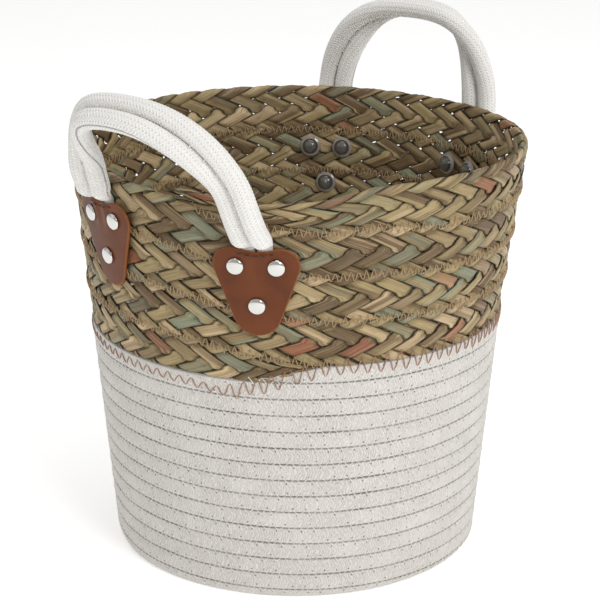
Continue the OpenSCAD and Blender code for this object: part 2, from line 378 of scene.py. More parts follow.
@dataclass(frozen=True)
class Wall:
    """The basket's tapered wall, in metres, with angles from the front towards the right."""

    foot_r: float = 109.5 * MM
    flare: float = 0.09
    rope_pitch: float = 10.125 * MM
    cord_z: float = 147.1 * MM
    cord_end: float = math.radians(20)
    rope_t: float = 8 * MM
    plait_t: float = 5 * MM
    plait_w: float = 26 * MM
    rim_z: float = 244.5 * MM
    low_z: float = 147 * MM
    low_fall: float = 14.5 * MM
    low_droop: float = 2.5 * MM
    low_step: float = 17 * MM
    droop_share: float = 0.035
    low_end: float = math.radians(41)
    low_start: float = math.radians(14)
    rim_start: float = math.radians(-20)
    rim_end: float = math.radians(70)
    rim_dip: Bump = Bump(29, 24, -4.5 * MM)
    rim_swell: Bump = Bump(72, 45, 3 * MM)
    spread_out: Bump = Bump(112, 62, 4.5 * MM)
    spread_z: tuple[float, float] = (150 * MM, 244 * MM)

    def radius(self, z: Number) -> Number:
        """Outer radius of the wall at a height."""
        return z * self.flare + self.foot_r

    def plait_radius(self, angle: Wire, z: Wire) -> Wire:
        """Outer radius of the plait, which spreads towards the rim on the right."""
        return self.radius(z) + z.ramp(*self.spread_z, False) * self.spread_out.at(angle)

    def at(self, angle: Wire, radius: Number, z: Number) -> Place:
        """A place from an angle, a radius and a height."""
        return angle.math("SINE") * radius, angle.math("COSINE") * radius * -1, z

    def past(self, angle: Wire, start: float) -> Wire:
        """Share of a turn, from 0 to 1, that an angle is past a starting angle."""
        return ((angle - start) / TAU).math("FRACT")

    def rim(self, angle: Wire) -> Wire:
        """Height of the rim, which dips where the plait's end is tucked in."""
        return self.rim_dip.at(angle) + self.rim_swell.at(angle) + self.rim_z

    def plait_low(self, angle: Wire) -> Wire:
        """Height of the plait's lower edge, which falls for a turn and then steps up.

        Args:
            angle: The angle along the plait.

        Returns:
            The height.
        """
        past = self.past(angle, self.low_end)
        step = 1 - (self.low_end - self.low_start) / TAU
        fall = (past / step).math("MINIMUM", 1.0) * -self.low_fall
        droop = past.ramp(step - self.droop_share, step) * -self.low_droop
        return fall + droop + past.ramp(step, 1.0, False) * self.low_step + self.low_z

    def courses(self, angle: Wire) -> tuple[Wire, Wire, Wire]:
        """Where the plait lies at an unwound angle, counted in courses down from the rim.

        Args:
            angle: The angle along the plait, which grows past a full turn.

        Returns:
            The plait's upper edge, its lower edge, and how many courses there are.
        """
        turn = (angle - self.rim_start) / TAU
        whole = turn.math("FLOOR")
        part = turn - whole
        top = part.ramp(0.0, (self.rim_end - self.rim_start) / TAU, False)
        first = (self.low_start - self.rim_start) / TAU
        last = (self.low_end - self.rim_start) / TAU
        total = top + 4.0 - part.ramp(first, last, False)
        upper = (whole + top - 1.0).math("MAXIMUM", 0.0)
        return upper, (whole + top).math("MINIMUM", total), total

    def course_z(self, angle: Wire, level: Wire, total: Wire) -> Wire:
        """Height of a level, counted in courses down from the rim."""
        rim = self.rim(angle)
        return rim - (rim - self.plait_low(angle)) * level / total


# ---------------------------------------------------------------- finishes


class Finish:
    """A material whose nodes end in one glossy or matt shader."""

    def __init__(self, name: str, colour: str, roughness: float, **more: float) -> None:
        """Make the material.

        Args:
            name: What it is made of.
            colour: Its main colour.
            roughness: From 0, polished, to 1, matt.
            more: Other sockets of the shader, with underscores for spaces.
        """
        self.material = bpy.data.materials.new(name)
        self.material.use_nodes = True
        self.tree = self.material.node_tree
        self.shader = self.tree.nodes["Principled BSDF"]
        self.shader.inputs["Base Color"].default_value = linear(colour)
        self.shader.inputs["Roughness"].default_value = roughness
        for label, value in more.items():
            self.shader.inputs[label.replace("_", " ")].default_value = value

    def node(self, kind: str, settings: dict | None = None, **inputs: object) -> bpy.types.Node:
        """Add a node, whose inputs are named with underscores for spaces."""
        named = {key.replace("_", " "): value for key, value in inputs.items()}
        return add_node(self.tree, kind, settings, named)

    def read(self, label: str) -> list[Wire]:
        """Read three numbers that a recipe stored on the points."""
        node = self.node("ShaderNodeAttribute", {"attribute_name": label})
        return parted(self.tree, node.outputs["Vector"])

    def noise(self, place: Place, detail: float = 2.0) -> Wire:
        """A soft random pattern, one bump for each unit of the place.

        Args:
            place: Where in the pattern the point is.
            detail: How many finer patterns lie over it.

        Returns:
            The pattern, from 0 to 1.
        """
        spot = joined(self.tree, place)
        node = self.node("ShaderNodeTexNoise", None, Vector=spot, Scale=1.0, Detail=detail)
        return Wire(node.outputs[0])

    def blend(self, share: Number, a: object, b: object) -> bpy.types.NodeSocket:
        """Mix two colours, which are hex values or sockets.

        Args:
            share: How much of the second colour there is, from 0 to 1.
            a: The first colour.
            b: The second colour.

        Returns:
            The mixed colour.
        """
        node = self.node("ShaderNodeMix", {"data_type": "RGBA"})
        for socket, value in ((0, share), (6, a), (7, b)):
            if isinstance(value, Wire):
                value = value.socket
            if isinstance(value, str):
                value = linear(value)
            if isinstance(value, bpy.types.NodeSocket):
                self.tree.links.new(value, node.inputs[socket])
            else:
                node.inputs[socket].default_value = value
        return node.outputs[2]

    def colour(self, socket: bpy.types.NodeSocket) -> None:
        """Take the main colour from a socket."""
        self.tree.links.new(socket, self.shader.inputs["Base Color"])

    def bump(self, height: Wire, depth: float) -> None:
        """Raise the surface by a height from 0 to 1, as deep as depth in metres."""
        node = self.node("ShaderNodeBump", None, Strength=1.0, Distance=depth, Height=height)
        self.tree.links.new(node.outputs[0], self.shader.inputs["Normal"])


class CottonCord(Finish):
    """Knitted cotton cord: matt, with fine slanting yarns that meet in a herringbone.

    The yarns are drawn coarser than real ones, so that they show. Sizes are in millimetres.
    """

    yarn: float = 1.5
    column: float = 4.2
    slope: float = 4.4
    pitch: float = 10.125
    dash: float = 2.3
    needle_rows: tuple[tuple[float, float], ...] = ((2.3, 0.0), (8.1, 0.1))

    def __init__(self, name: str, colour: str, groove: str) -> None:
        """Make the finish, with needle holes along the seams.

        Args:
            name: What it is made of.
            colour: The yarn's colour.
            groove: The colour between the yarns, a painted shade.
        """
        soft = {"Sheen_Weight": 0.2, "Sheen_Roughness": 0.6, "Specular_IOR_Level": 0.15}
        super().__init__(name, colour, 0.95, **soft)
        along, around, turn = self.read("yarn")
        stitch, rise, face = self.read("sewn")
        wobble = self.noise((along * 0.45, around * 0.45, turn * 3.1)) - 0.5
        slant = (around / self.column).math("PINGPONG", 0.5) * self.slope
        wave = ((along + slant + wobble * 4.0) * (TAU / self.yarn)).math("SINE") * 0.5 + 0.5
        fibre = self.noise((along * 1.6, around * 1.6, turn * 7.7), 4.0)
        fleck = self.noise((along * 0.9, around * 0.9 + slant * 0.4, turn * 5.3), 2.0)
        height = wave * 0.35 + fibre * 0.65
        lower, upper = (self.holes(stitch, rise, *row) for row in self.needle_rows)
        deep = self.noise((stitch * 1.3, rise * 0.2, turn)).ramp(0.35, 0.6)
        hole = (lower + upper).math("MINIMUM", 1.0) * face.ramp(0.5, 0.8) * deep
        # The seam is a broken line of painted shade in the crease between courses; it is broken because the
        # yarns of both courses meet over it
        near = rise.math("MINIMUM", self.pitch - rise)
        dash = ((along + wobble * 2.0) * (TAU / self.dash)).math("SINE").ramp(-0.9, 0.5).mix(0.25, 1.0)
        line = (1.0 - near.ramp(0.2, 0.75)) * dash
        # The yarn is tinted towards the groove colour where its height is low: painted shade between the
        # yarns, mixed with random tone from the fibre noise
        shade = self.blend(height.ramp(0.15, 0.8), groove, colour)
        shade = self.blend((1.0 - fleck.ramp(0.28, 0.42)) * 0.4, shade, groove)
        patch = self.noise((along * 0.04, around * 0.12, turn * 1.7))
        shade = self.blend(patch.ramp(0.4, 0.8) * 0.4, shade, "#e6e2dc")
        # Painted shade along the seam's crease, darkening the yarn towards grey-brown
        shade = self.blend(line * 0.25, shade, "#857d73")
        # The needle holes are painted dark as the shade inside them, and they are also pressed in by the
        # bump
        self.colour(self.blend(hole * 0.75, shade, "#4f4a44"))
        self.bump(height - hole * 1.5 - line * 0.3, 0.45 * MM)

    def holes(self, stitch: Wire, rise: Wire, row: float, shift: float) -> Wire:
        """Needle holes in one row.

        Args:
            stitch: How far along the seam the point is, in stitches.
            rise: How far above the cord's lower edge it is, in millimetres.
            row: How far above that edge the row is.
            shift: How far along the row starts, in stitches.

        Returns:
            One in the holes, and 0 away from them.
        """
        step = (stitch + shift).math("PINGPONG", 0.5) * NEEDLE_STEP
        off = rise - row
        reach = (step * step + off * off * 0.8).math("SQRT")
        return 1.0 - reach.ramp(0.22, 0.55)


class HandleKnit(Finish):
    """Knitted rope of the handles: soft off-white yarn in short rows round the rope.

    The rope's own shape has the same columns and rows. Sizes are in millimetres.
    """

    rope_r: float = 5.7
    columns: int = 12
    row: float = 1.9
    slope: float = 3.2

    def __init__(self, name: str, colour: str, groove: str) -> None:
        """Make the finish.

        Args:
            name: What it is made of.
            colour: The yarn's colour.
            groove: The colour between the yarns, a painted shade.
        """
        soft = {"Sheen_Weight": 0.25, "Sheen_Roughness": 0.6, "Specular_IOR_Level": 0.15}
        super().__init__(name, colour, 0.95, **soft)
        along, around, _ = self.read("yarn")
        column = (around * (self.columns / TAU / self.rope_r)).math("PINGPONG", 0.5)
        fibre = self.noise((along * 2.2, around * 2.2, 0.0), 3.0)
        wobble = self.noise((along * 0.3, around * 0.3, 4.0)) - 0.5
        stepped = along + column * self.slope
        wave = ((stepped + wobble * 0.5) * (TAU / self.row)).math("SINE") * 0.5 + 0.5
        fine = (stepped * (TAU / 0.63) + around * 2.0).math("SINE") * 0.5 + 0.5
        height = wave * 0.5 + fine * 0.12 + column.ramp(0.0, 0.2) * 0.25 + fibre * 0.25
        # The yarn is tinted towards the groove colour where its height is low: painted shade between the
        # rows and columns, mixed with random tone from the fibre noise
        self.colour(self.blend(height.ramp(0.1, 0.65), groove, colour))
        self.bump(height, 0.5 * MM)


class SeagrassLeaf(Finish):
    """Dried seagrass: a satin leaf, straw to green-grey, streaked along its length."""

    half: float = 3.2  # of the leaf's width, in millimetres

    def __init__(self, name: str) -> None:
        """Make the finish.

        Args:
            name: What it is made of.
        """
        super().__init__(name, "#bea57d", 0.5, Specular_IOR_Level=0.45)
        along, across, tone = self.read("leaf")
        hue, dark, red = self.read("pick")
        streak = self.noise((along * 0.03, across * 2.6, tone * 37.0), 3.0)
        vein = self.noise((along * 0.06, across * 7.5, tone * 91.0), 2.0)
        blotch = self.noise((along * 0.16, across * 0.6, tone * 13.0), 3.0)
        base = self.blend(hue.ramp(0.15, 0.5), "#d0b58c", "#ab9669")
        base = self.blend(hue.ramp(0.6, 0.8), base, "#8f9378")
        base = self.blend(dark.ramp(0.33, 0.8) * 0.9, base, "#62482b")
        base = self.blend(red.ramp(0.955, 0.985) * 0.7, base, "#a0583a")
        base = self.blend(streak.ramp(0.5, 0.75) * 0.5, base, "#cdbd95")
        base = self.blend((1.0 - streak.ramp(0.25, 0.45)) * 0.5, base, "#54452c")
        base = self.blend((1.0 - vein.ramp(0.3, 0.46)) * 0.75, base, "#40301c")
        base = self.blend(blotch.ramp(0.6, 0.78) * 0.55, base, "#7d4d2b")
        # Each strand is painted dark along its edges: painted shade for the gaps between the strands
        edge = (across / self.half).math("ABSOLUTE").ramp(0.78, 1.0)
        base = self.blend(edge * 0.85, base, "#261b10")
        self.colour(base)
        self.bump(vein * 0.6 + streak * 0.4, 0.5 * MM)


class Thread(Finish):
    """Twisted sewing thread: a soft shine on a fine, even yarn."""

    def __init__(self, name: str, colour: str) -> None:
        """Make the finish.

        Args:
            name: What it is made of.
            colour: The thread's colour.
        """
        super().__init__(name, colour, 0.6, Specular_IOR_Level=0.4, Sheen_Weight=0.2)
        spot = self.node("ShaderNodeTexCoord").outputs["Object"]
        grain = self.node("ShaderNodeTexNoise", None, Vector=spot, Scale=2500.0, Detail=2.0)
        shade = Wire(grain.outputs[0]).ramp(0.3, 0.7)
        node = self.node("ShaderNodeHueSaturation", None, Color=linear(colour), Value=shade.mix(0.8, 1.1))
        self.colour(node.outputs[0])
        self.bump(shade, 0.1 * MM)


class ClearBack(Finish):
    """Clear moulded plastic: a glossy dome on a pale flange; the dome is painted dark over the rivet's end,
    for what it refracts.
    """

    def __init__(self, name: str) -> None:
        """Make the finish, which changes with the height over the flange in millimetres.

        Args:
            name: What it is made of.
        """
        super().__init__(name, "#4a4845", 0.06, Specular_IOR_Level=0.9, Alpha=0.62)
        rise = Wire(self.node("ShaderNodeAttribute", {"attribute_name": "rise"}).outputs["Fac"])
        # Painted refraction: the dome is painted dark, darkest low down and paler at its crown, for the dark
        # hollow and rivet end seen through the clear plastic
        dome = self.blend(rise.ramp(2.2, 4.4), "#1e1b18", "#6e6a64")
        self.colour(self.blend(rise.ramp(1.0, 2.0), "#a39d95", dome))


class Leather(Finish):
    """Coated leather: even and satin, with a fine grain and paler, rubbed edges."""

    def __init__(self, name: str) -> None:
        """Make the finish.

        Args:
            name: What it is made of.
        """
        super().__init__(name, "#6a3518", 0.42, Specular_IOR_Level=0.25)
        spot = self.node("ShaderNodeTexCoord").outputs["Object"]
        edge = Wire(self.node("ShaderNodeAttribute", {"attribute_name": "edge"}).outputs["Fac"])
        cloud = self.node("ShaderNodeTexNoise", None, Vector=spot, Scale=45.0, Detail=3.0)
        grain = self.node("ShaderNodeTexVoronoi", None, Vector=spot, Scale=1400.0)
        base = self.blend(Wire(cloud.outputs[0]).ramp(0.3, 0.7), "#582a0d", "#6b3614")
        base = self.blend((1.0 - edge.ramp(0.3, 0.8)) * 0.6, base, "#94592c")
        self.colour(base)
        self.bump(Wire(grain.outputs["Distance"]), 0.04 * MM)


# ---------------------------------------------------------------- cotton cord


def stand_for(piece: bpy.types.Object, body: str, slot: str, *nodes: str) -> None:
    """Let a piece move with a body and stand for frame nodes.

    Args:
        piece: The piece.
        body: The body that carries it.
        slot: The finish's slot, which is not used.
        nodes: The frame's nodes that it takes the place of.
    """
    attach(piece, body)
    if nodes:
        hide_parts(*nodes)
    LOG.info("%s: %d faces, rides on %s", piece.name, len(piece.data.polygons), body)


@dataclass
class CordBasket:
    """The coiled cotton cord: a spiral base and a rising wall, sewn course to course."""

    wall: Wall
    squareness: float = 0.12
    crown: float = 0.35 * MM
    foot_round: float = 1.6 * MM
    foot_height: float = 6 * MM
    base_gap: float = 0.1 * MM
    base_turns: float = 10.5
    turns: float = 14.46
    wall_rings: int = 3900
    base_rings: int = 1500
    sides: int = 24
    skin: float = 0.1 * MM
    least_z: float = 0.3 * MM
    mean_r: float = 116.0 * MM
    dent_w: float = 26 * MM
    dent: float = 0.35 * MM
    stitches_a_turn: float = 99.6
    bare_turns: float = 1.1
    floor_stitches: float = 400.0
    floor_turns: float = 8.9
    floor_start: float = 0.3
    floor_share: float = 0.97
    stitch_high: float = 2.3 * MM
    stitch_low: float = 2.0 * MM
    stitch_r: float = 0.3 * MM

    @property
    def base_r(self) -> float:
        """Radius of the base's spiral, inside the foot of the wall."""
        return self.wall.foot_r - self.wall.rope_t - self.base_gap

    def squared(self, value: Wire) -> Wire:
        """Square up a circle's cosine or sine, for a cord that is pressed flat."""
        return value.math("ABSOLUTE").math("POWER", self.squareness) * value.math("SIGN")

    def around(self, across: Wire, up: Wire) -> Wire:
        """How far round the cord a point is, in millimetres."""
        girth = 2 * (self.wall.rope_pitch + self.wall.rope_t) / MM
        return up.math("ARCTAN2", across) * (girth / TAU)

    def coil(self) -> Recipe:
        """Write the tree for the wall's coil, from its upper end down to the floor.

        Returns:
            The recipe for the coil.
        """
        wall = self.wall
        recipe = Recipe("Cord wall", turns=self.turns, pitch=wall.rope_pitch, thickness=wall.rope_t,
                        rings=self.wall_rings, sides=self.sides)
        mesh, along, across, up = recipe.bar(recipe["sides"], recipe["rings"])
        turn = along * recipe["turns"]
        angle = turn * TAU + wall.cord_end
        top = (turn * recipe["pitch"] * -1 + wall.cord_z).math("MAXIMUM", self.least_z)
        low = (top - recipe["pitch"]).math("MAXIMUM", 0.0)
        # The cord's upper end is trimmed to a long slant, which lies under the plait's own step
        slant = turn.ramp(-0.004, 0.056, False)
        half = (top - low) / 2 * slant
        blunt = slant.math("POWER", 0.3)
        z = low + half + self.squared(up) * half
        crown = (1.0 - up * up) * self.crown
        out = self.squared(across) * (recipe["thickness"] / 2 - self.skin + crown) * blunt
        under = (1.0 - z / self.foot_height).math("MAXIMUM", 0.0)
        tuck = under * under * self.foot_round * across.math("GREATER_THAN", 0.0)
        radius = wall.radius(z) - recipe["thickness"] / 2 + out - tuck
        length = angle * (across.math("SIGN") * (self.mean_r / MM))
        mesh = recipe.keep(mesh, "yarn", (length, self.around(across, up), turn))
        stitch = (angle - wall.cord_end) * (self.stitches_a_turn / TAU)
        rise = (z - top + recipe["pitch"]) / MM
        mesh = recipe.keep(mesh, "sewn", (stitch, rise, across.math("ABSOLUTE")))
        mesh = recipe.move(mesh, wall.at(angle, radius, z))
        mesh = recipe.roughen(mesh, self.dent_w, self.dent)
        return recipe.close(mesh)

    def spiral(self) -> Recipe:
        """Write the tree for the base's spiral, from the foot of the wall to the middle.

        Returns:
            The recipe for the spiral.
        """
        wall = self.wall
        recipe = Recipe("Cord base", turns=self.base_turns, reach=self.base_r, thickness=wall.rope_t,
                        rings=self.base_rings, sides=self.sides)
        mesh, along, across, up = recipe.bar(recipe["sides"], recipe["rings"])
        # The cord's length grows with the square of the radius, so the rings are spread by a root
        turn = (1.0 - (1.0 - along).math("POWER", 0.5)) * recipe["turns"]
        pitch = recipe["reach"] / recipe["turns"]
        angle = turn * TAU + wall.cord_end
        outer = (recipe["reach"] - (turn - 1.0) * pitch).math("MINIMUM", recipe["reach"])
        inner = (recipe["reach"] - turn * pitch).math("MAXIMUM", 0.0)
        blunt = turn.ramp(0.0, 0.02).math("POWER", 0.5)
        radius = (outer + inner) / 2 + self.squared(across) * (outer - inner) * 0.5 * blunt
        z = self.squared(up) * (recipe["thickness"] / 2 - self.skin) * blunt + recipe["thickness"] / 2
        length = angle * (outer + inner) / (2 * MM)
        mesh = recipe.keep(mesh, "yarn", (length * up.math("SIGN"), self.around(up, across), turn))
        rise = (radius - inner) / MM
        mesh = recipe.keep(mesh, "sewn", (length / NEEDLE_STEP, rise, up.math("ABSOLUTE")))
        mesh = recipe.move(mesh, wall.at(angle, radius, z))
        return recipe.close(mesh)

    def build(self, cotton: Finish, thread: Finish) -> None:
        """Make the wall and the base, and the thread that sews each course to the next.

        Args:
            cotton: The cord's finish.
            thread: The thread's finish.
        """
        coil = self.coil().make("cord_wall", cotton.material)
        base = self.spiral().make("cord_base", cotton.material)
        for piece, node in ((coil, "wall_coil"), (base, "base_coil")):
            stand_for(piece, "basket", "cotton_rope", node)
        wall = self.wall
        turns = self.turns - self.bare_turns
        across = (self.stitch_high, -self.stitch_low, self.stitch_r)
        seam = Stitching("Wall stitches", *across, lift=0.25 * MM, dive=0.6 * MM, steps=6)
        for name, inward in (("cord_stitches_outside", 0.0), ("cord_stitches_inside", wall.rope_t)):

            def place(along: Wire, rise: Wire, lift: Wire) -> Place:
                """A stitch's place on one face of the wall, along the seam under the cord.

                Args:
                    along: How far along the seam the thread is, from 0 to 1.
                    rise: How far across the seam it is.
                    lift: How far off the surface it is.

                Returns:
                    The place.
                """
                angle = along * (turns * TAU) + wall.cord_end
                z = along * (-turns * wall.rope_pitch) + (wall.cord_z - wall.rope_pitch) + rise
                face = wall.radius(z) - inward
                return wall.at(angle, face - lift if inward else face + lift, z)

            piece = seam.recipe(turns * self.stitches_a_turn, place).make(name, thread.material)
            stand_for(piece, "basket", "white_thread", "coil_thread")
        flat = Stitching("Base stitches", *across, lift=0.1 * MM, dive=0.5 * MM, steps=6)

        def place_flat(along: Wire, rise: Wire, lift: Wire) -> Place:
            """A stitch's place on the basket's floor, along the spiral seam.

            Args:
                along: How far along the seam the thread is, from 0 to 1.
                rise: How far across the seam it is.
                lift: How far off the surface it is.

            Returns:
                The place.
            """
            wound = 1.0 - (1.0 - along * self.floor_share).math("POWER", 0.5)
            turn = wound * self.floor_turns + self.floor_start
            radius = self.base_r - turn * (self.base_r / self.base_turns) + rise
            return wall.at(turn * TAU + wall.cord_end, radius, wall.rope_t + lift)

        piece = flat.recipe(self.floor_stitches, place_flat).make("cord_stitches_floor", thread.material)
        stand_for(piece, "basket", "white_thread")


@dataclass
class Stitching:
    """A zigzag thread: it bridges a seam and dives into the work at each needle hole."""

    name: str
    high: float
    low: float
    thread_r: float
    lift: float
    dive: float
    steps: int = 8
    blunt: float = 1.0
    stray: float = 0.15

    def recipe(self, periods: float, place: Callable[[Wire, Wire, Wire], Place]) -> Recipe:
        """Write the tree for one line of stitches.

        Args:
            periods: How many times the thread goes to and fro.
            place: Gives a point's place from how far along it is, its rise across the seam
                and its lift off the surface.

        Returns:
            The recipe for the line.
        """
        recipe = Recipe(self.name, points=int(periods * self.steps), periods=periods, radius=self.thread_r,
                        sides=5)
        curve, along = recipe.line(recipe["points"])
        phase = along * recipe["periods"]
        swing = phase.math("PINGPONG", 0.5) * 2
        if self.blunt > 1.0:
            swing = ((swing * 2 - 1.0) * self.blunt).math("TANH") / math.tanh(self.blunt) * 0.5 + 0.5
        row = {"noise_dimensions": "1D"}
        noises = [recipe.node("ShaderNodeTexNoise", row, W=spot, Scale=1.0).outputs[0]
                  for spot in (phase * 1.7, phase * 1.3 + 900.0)]
        high_stray, step_stray = (Wire(noise) - 0.5 for noise in noises)
        reach = self.high - self.low
        rise = swing * -reach + self.high + high_stray * (reach * self.stray * 2)
        bridge = (swing * math.pi).math("SINE").math("POWER", 0.5)
        lift = bridge * (self.lift + self.dive) - self.dive
        step = step_stray * self.stray / recipe["periods"]
        curve = recipe.move(curve, place(along + step, rise, lift))
        circle = {"Resolution": recipe["sides"], "Radius": recipe["radius"]}
        ring = recipe.node("GeometryNodeCurvePrimitiveCircle", None, **circle).outputs[0]
        tube = recipe.node("GeometryNodeCurveToMesh", None, Curve=curve, Profile_Curve=ring, Fill_Caps=True)
        return recipe.close(tube.outputs[0])


# ---------------------------------------------------------------- seagrass plait


@dataclass
class SeagrassPlait:
    """A flat plait of seven strands, wound round the basket in four turns."""

    wall: Wall
    strands: int = 7
    slope: float = math.radians(24)
    mean_r: float = 124 * MM
    start: float = math.radians(5)
    finish: float = math.radians(40)
    turns: int = 4
    lift: float = 1.3 * MM
    strand_t: float = 2.0 * MM
    overlap: float = 1.06
    tip: float = 1.2 * MM
    rings: int = 2300
    sides: int = 20
    stitch_step: float = 4.2 * MM
    stitch_first: float = math.radians(8)
    stitch_off: float = 0.2 * MM
    foot_r: float = 122 * MM
    foot_step: float = 7.9 * MM
    foot_gap: float = 0.02
    foot_back: float = math.radians(10)

    @property
    def pitch(self) -> float:
        """Spacing along the plait of strands that lean the same way."""
        return 2 * self.wall.plait_w / (self.strands * math.tan(self.slope))

    def picks(self, recipe: Recipe, stretch: Wire, count: int) -> list[Wire]:
        """Random numbers from 0 to 1 that stay the same over a stretch of strand.

        Args:
            recipe: The strand's recipe.
            stretch: A number for each stretch.
            count: How many random numbers there are.

        Returns:
            The numbers.
        """
        found = []
        for seed in range(count):
            node = recipe.node("FunctionNodeRandomValue", {"data_type": "FLOAT"})
            for socket in node.inputs:
                if socket.name == "ID" and socket.enabled:
                    recipe.tree.links.new(stretch.socket, socket)
                if socket.name == "Seed" and socket.enabled:
                    socket.default_value = SEED + seed
            found.append(Wire([socket for socket in node.outputs if socket.enabled][0]))
        return found

    def strand(self) -> Recipe:
        """Write the tree for one strand, which goes to and fro across the plait.

        Returns:
            A recipe whose input "strand" says which of the seven it is.
        """
        wall = self.wall
        length = self.mean_r * (TAU * self.turns + self.finish - self.start)
        crossing = self.pitch * self.strands / 2
        recipe = Recipe("Plait strand", strand=0, rings=self.rings, sides=self.sides, width=wall.plait_w,
                        lift=self.lift, thickness=self.strand_t)
        mesh, along, across, up = recipe.bar(recipe["sides"], recipe["rings"])
        strand = recipe["strand"]
        shift = strand * (self.pitch / crossing)
        a = along * (length / crossing) - shift + float(self.strands)
        whole = a.math("FLOOR")
        part = a - whole
        lean = 1.0 - whole.math("MODULO", 2.0) * 2
        # Which side of the plait the strand is on, from how many others it has passed
        passed = part * float(self.strands) + across / 2
        side = passed.ramp(1.2, 1.8) * 2 - passed.ramp(3.2, 3.8) * 2 + passed.ramp(5.2, 5.8) * 2 - 1.0
        # The strand folds over at each edge of the plait
        near = part.math("MINIMUM", 1.0 - part) * recipe["width"]
        fold = (near / recipe["lift"]).math("MINIMUM", math.pi / 2)
        flat = (near - recipe["lift"] * (math.pi / 2)).math("MAXIMUM", 0.0)
        edge = (1.0 - fold.math("COSINE")) * recipe["lift"] + flat
        half = recipe["width"] / 2
        over = part.ramp(0.4999, 0.5001) * -2 + 1.0
        # A fresh pick for each stretch that shows between two crossings
        stretch = strand * 4096.0 + whole * 8.0 + ((passed + 0.5) / 2).math("FLOOR")
        picks = self.picks(recipe, stretch, 6)
        slim = picks[4].mix(0.82, 1.02)
        leaves = (picks[3] * 2.99).math("FLOOR") + 1.0
        comb = (across * 0.5 + 0.5) * leaves + picks[5] * 0.35
        leaf_id = comb.math("FLOOR")
        ridge = (comb.math("PINGPONG", 0.5) * 2).math("POWER", 0.4) * 0.55 + 0.45
        shades = self.picks(recipe, stretch * 4.0 + leaf_id, 3)
        body = up * (recipe["thickness"] / 2) * ridge
        t = (half - edge) * over * lean * -1 + body * fold.math("COSINE") * over * lean * side * -1
        h = (side * recipe["lift"] + body) * fold.math("SINE")
        # Each stretch tips a little, so that one edge of the leaf stands out
        h = h + across * (picks[5] - 0.5) * self.tip
        s = (a - float(self.strands) + shift) * crossing + across * (self.pitch / 2) * slim
        angle = s / self.mean_r + self.start
        upper, lower, total = wall.courses(angle)
        share = 0.5 - t / recipe["width"] * self.overlap
        z = wall.course_z(angle, upper + (lower - upper) * share, total)
        radius = wall.plait_radius(angle, z) - wall.plait_t / 2 + h
        leaf = (a * (crossing / MM), across * SeagrassLeaf.half, picks[0] + strand)
        mesh = recipe.keep(mesh, "leaf", leaf)
        hue = picks[0] * 0.6 + shades[0] * 0.4
        dark = picks[1] * 0.5 + shades[1] * 0.5
        mesh = recipe.keep(mesh, "pick", (hue, dark, picks[2]))
        mesh = recipe.move(mesh, wall.at(angle, radius, z))
        return recipe.close(mesh)

    def build(self, leaf: Finish, fine: Finish, brown: Finish) -> None:
        """Make the seven strands, and the threads that sew the plait's turns and its foot.

        Args:
            leaf: The strands' finish.
            fine: The finish of the thread between the turns.
            brown: The finish of the thread along the foot.
        """
        recipe = self.strand()
        for index in range(self.strands):
            piece = recipe.make(f"plait_strand_{index + 1}", leaf.material, strand=index)
            stand_for(piece, "basket", "seagrass", "seagrass_plait")
        wall = self.wall
        first = self.stitch_first
        span = TAU * (self.turns - 1) + wall.low_end - first
        periods = span * self.mean_r / self.stitch_step
        seam = Stitching("Plait stitches", 2.6 * MM, -2.6 * MM, 0.27 * MM, lift=0.5 * MM, dive=0.7 * MM,
                         blunt=1.2, stray=0.3)
        for name, inward in (("plait_stitches_outside", 0.0), ("plait_stitches_inside", wall.plait_t)):

            def place(along: Wire, rise: Wire, lift: Wire) -> Place:
                """A stitch's place on one face of the plait, along the seam under it.

                Args:
                    along: How far along the seam the thread is, from 0 to 1.
                    rise: How far across the seam it is.
                    lift: How far off the surface it is.

                Returns:
                    The place.
                """
                angle = along * span + first
                upper, lower, total = wall.courses(angle)
                z = wall.course_z(angle, lower, total) + rise
                face = wall.plait_radius(angle, z) - inward
                off = lift + self.stitch_off
                return wall.at(angle, face - off if inward else face + off, z)

            piece = seam.recipe(periods, place).make(name, fine.material)
            stand_for(piece, "basket", "tan_thread", "plait_thread")
        foot = Stitching("Foot stitches", 3.6 * MM, -6.2 * MM, 0.33 * MM, lift=0.45 * MM, dive=0.5 * MM,
                         steps=12, blunt=1.3, stray=0.16)

        def place_foot(along: Wire, rise: Wire, lift: Wire) -> Place:
            """A stitch's place along the plait's lower edge.

            Args:
                along: How far along the seam the thread is, from 0 to 1.
                rise: How far across the seam it is.
                lift: How far off the surface it is.

            Returns:
                The place.
            """
            angle = along * (TAU - self.foot_gap) + (wall.low_end - self.foot_back)
            # The stitches hang less low on the left, where the plait has slipped down
            hang = 1.0 - wall.past(angle, wall.low_start).ramp(0.45, 0.85) * 0.5
            z = wall.plait_low(angle) + rise * hang
            return wall.at(angle, wall.radius(z) + lift + 0.3 * MM, z)

        periods = TAU * self.foot_r / self.foot_step
        piece = foot.recipe(periods, place_foot).make("foot_stitches", brown.material)
        stand_for(piece, "basket", "brown_thread", "seam_thread")


# ---------------------------------------------------------------- turned shapes and copies


def spread(start: float, stop: float, steps: int) -> list[float]:
    """Evenly spaced numbers from start to stop, both included."""
    return [start + (stop - start) * i / steps for i in range(steps + 1)]


def mesh_of(name: str, rings: list[list[Vector]], ends: tuple[Vector, Vector]) -> bpy.types.Mesh:
    """Skin rings of points, with a point at each end.

    Args:
        name: The mesh's name.
        rings: Rings with the same number of points, anticlockwise seen from the last end.
        ends: The points that close the first and the last ring.

    Returns:
        A closed mesh.
    """
    count = len(rings[0])
    points = [p for ring in rings for p in ring] + list(ends)
    faces: list[tuple[int, ...]] = []
    for k in range(count):
        after = (k + 1) % count
        faces.append((len(points) - 2, after, k))
        for i in range(len(rings) - 1):
            low = i * count
            faces.append((low + k, low + after, low + count + after, low + count + k))
        last = (len(rings) - 1) * count
        faces.append((last + k, last + after, len(points) - 1))
    mesh = bpy.data.meshes.new(name)
    mesh.from_pydata([Vector(p) * MM for p in points], [], faces)
    mesh.shade_smooth()
    return mesh


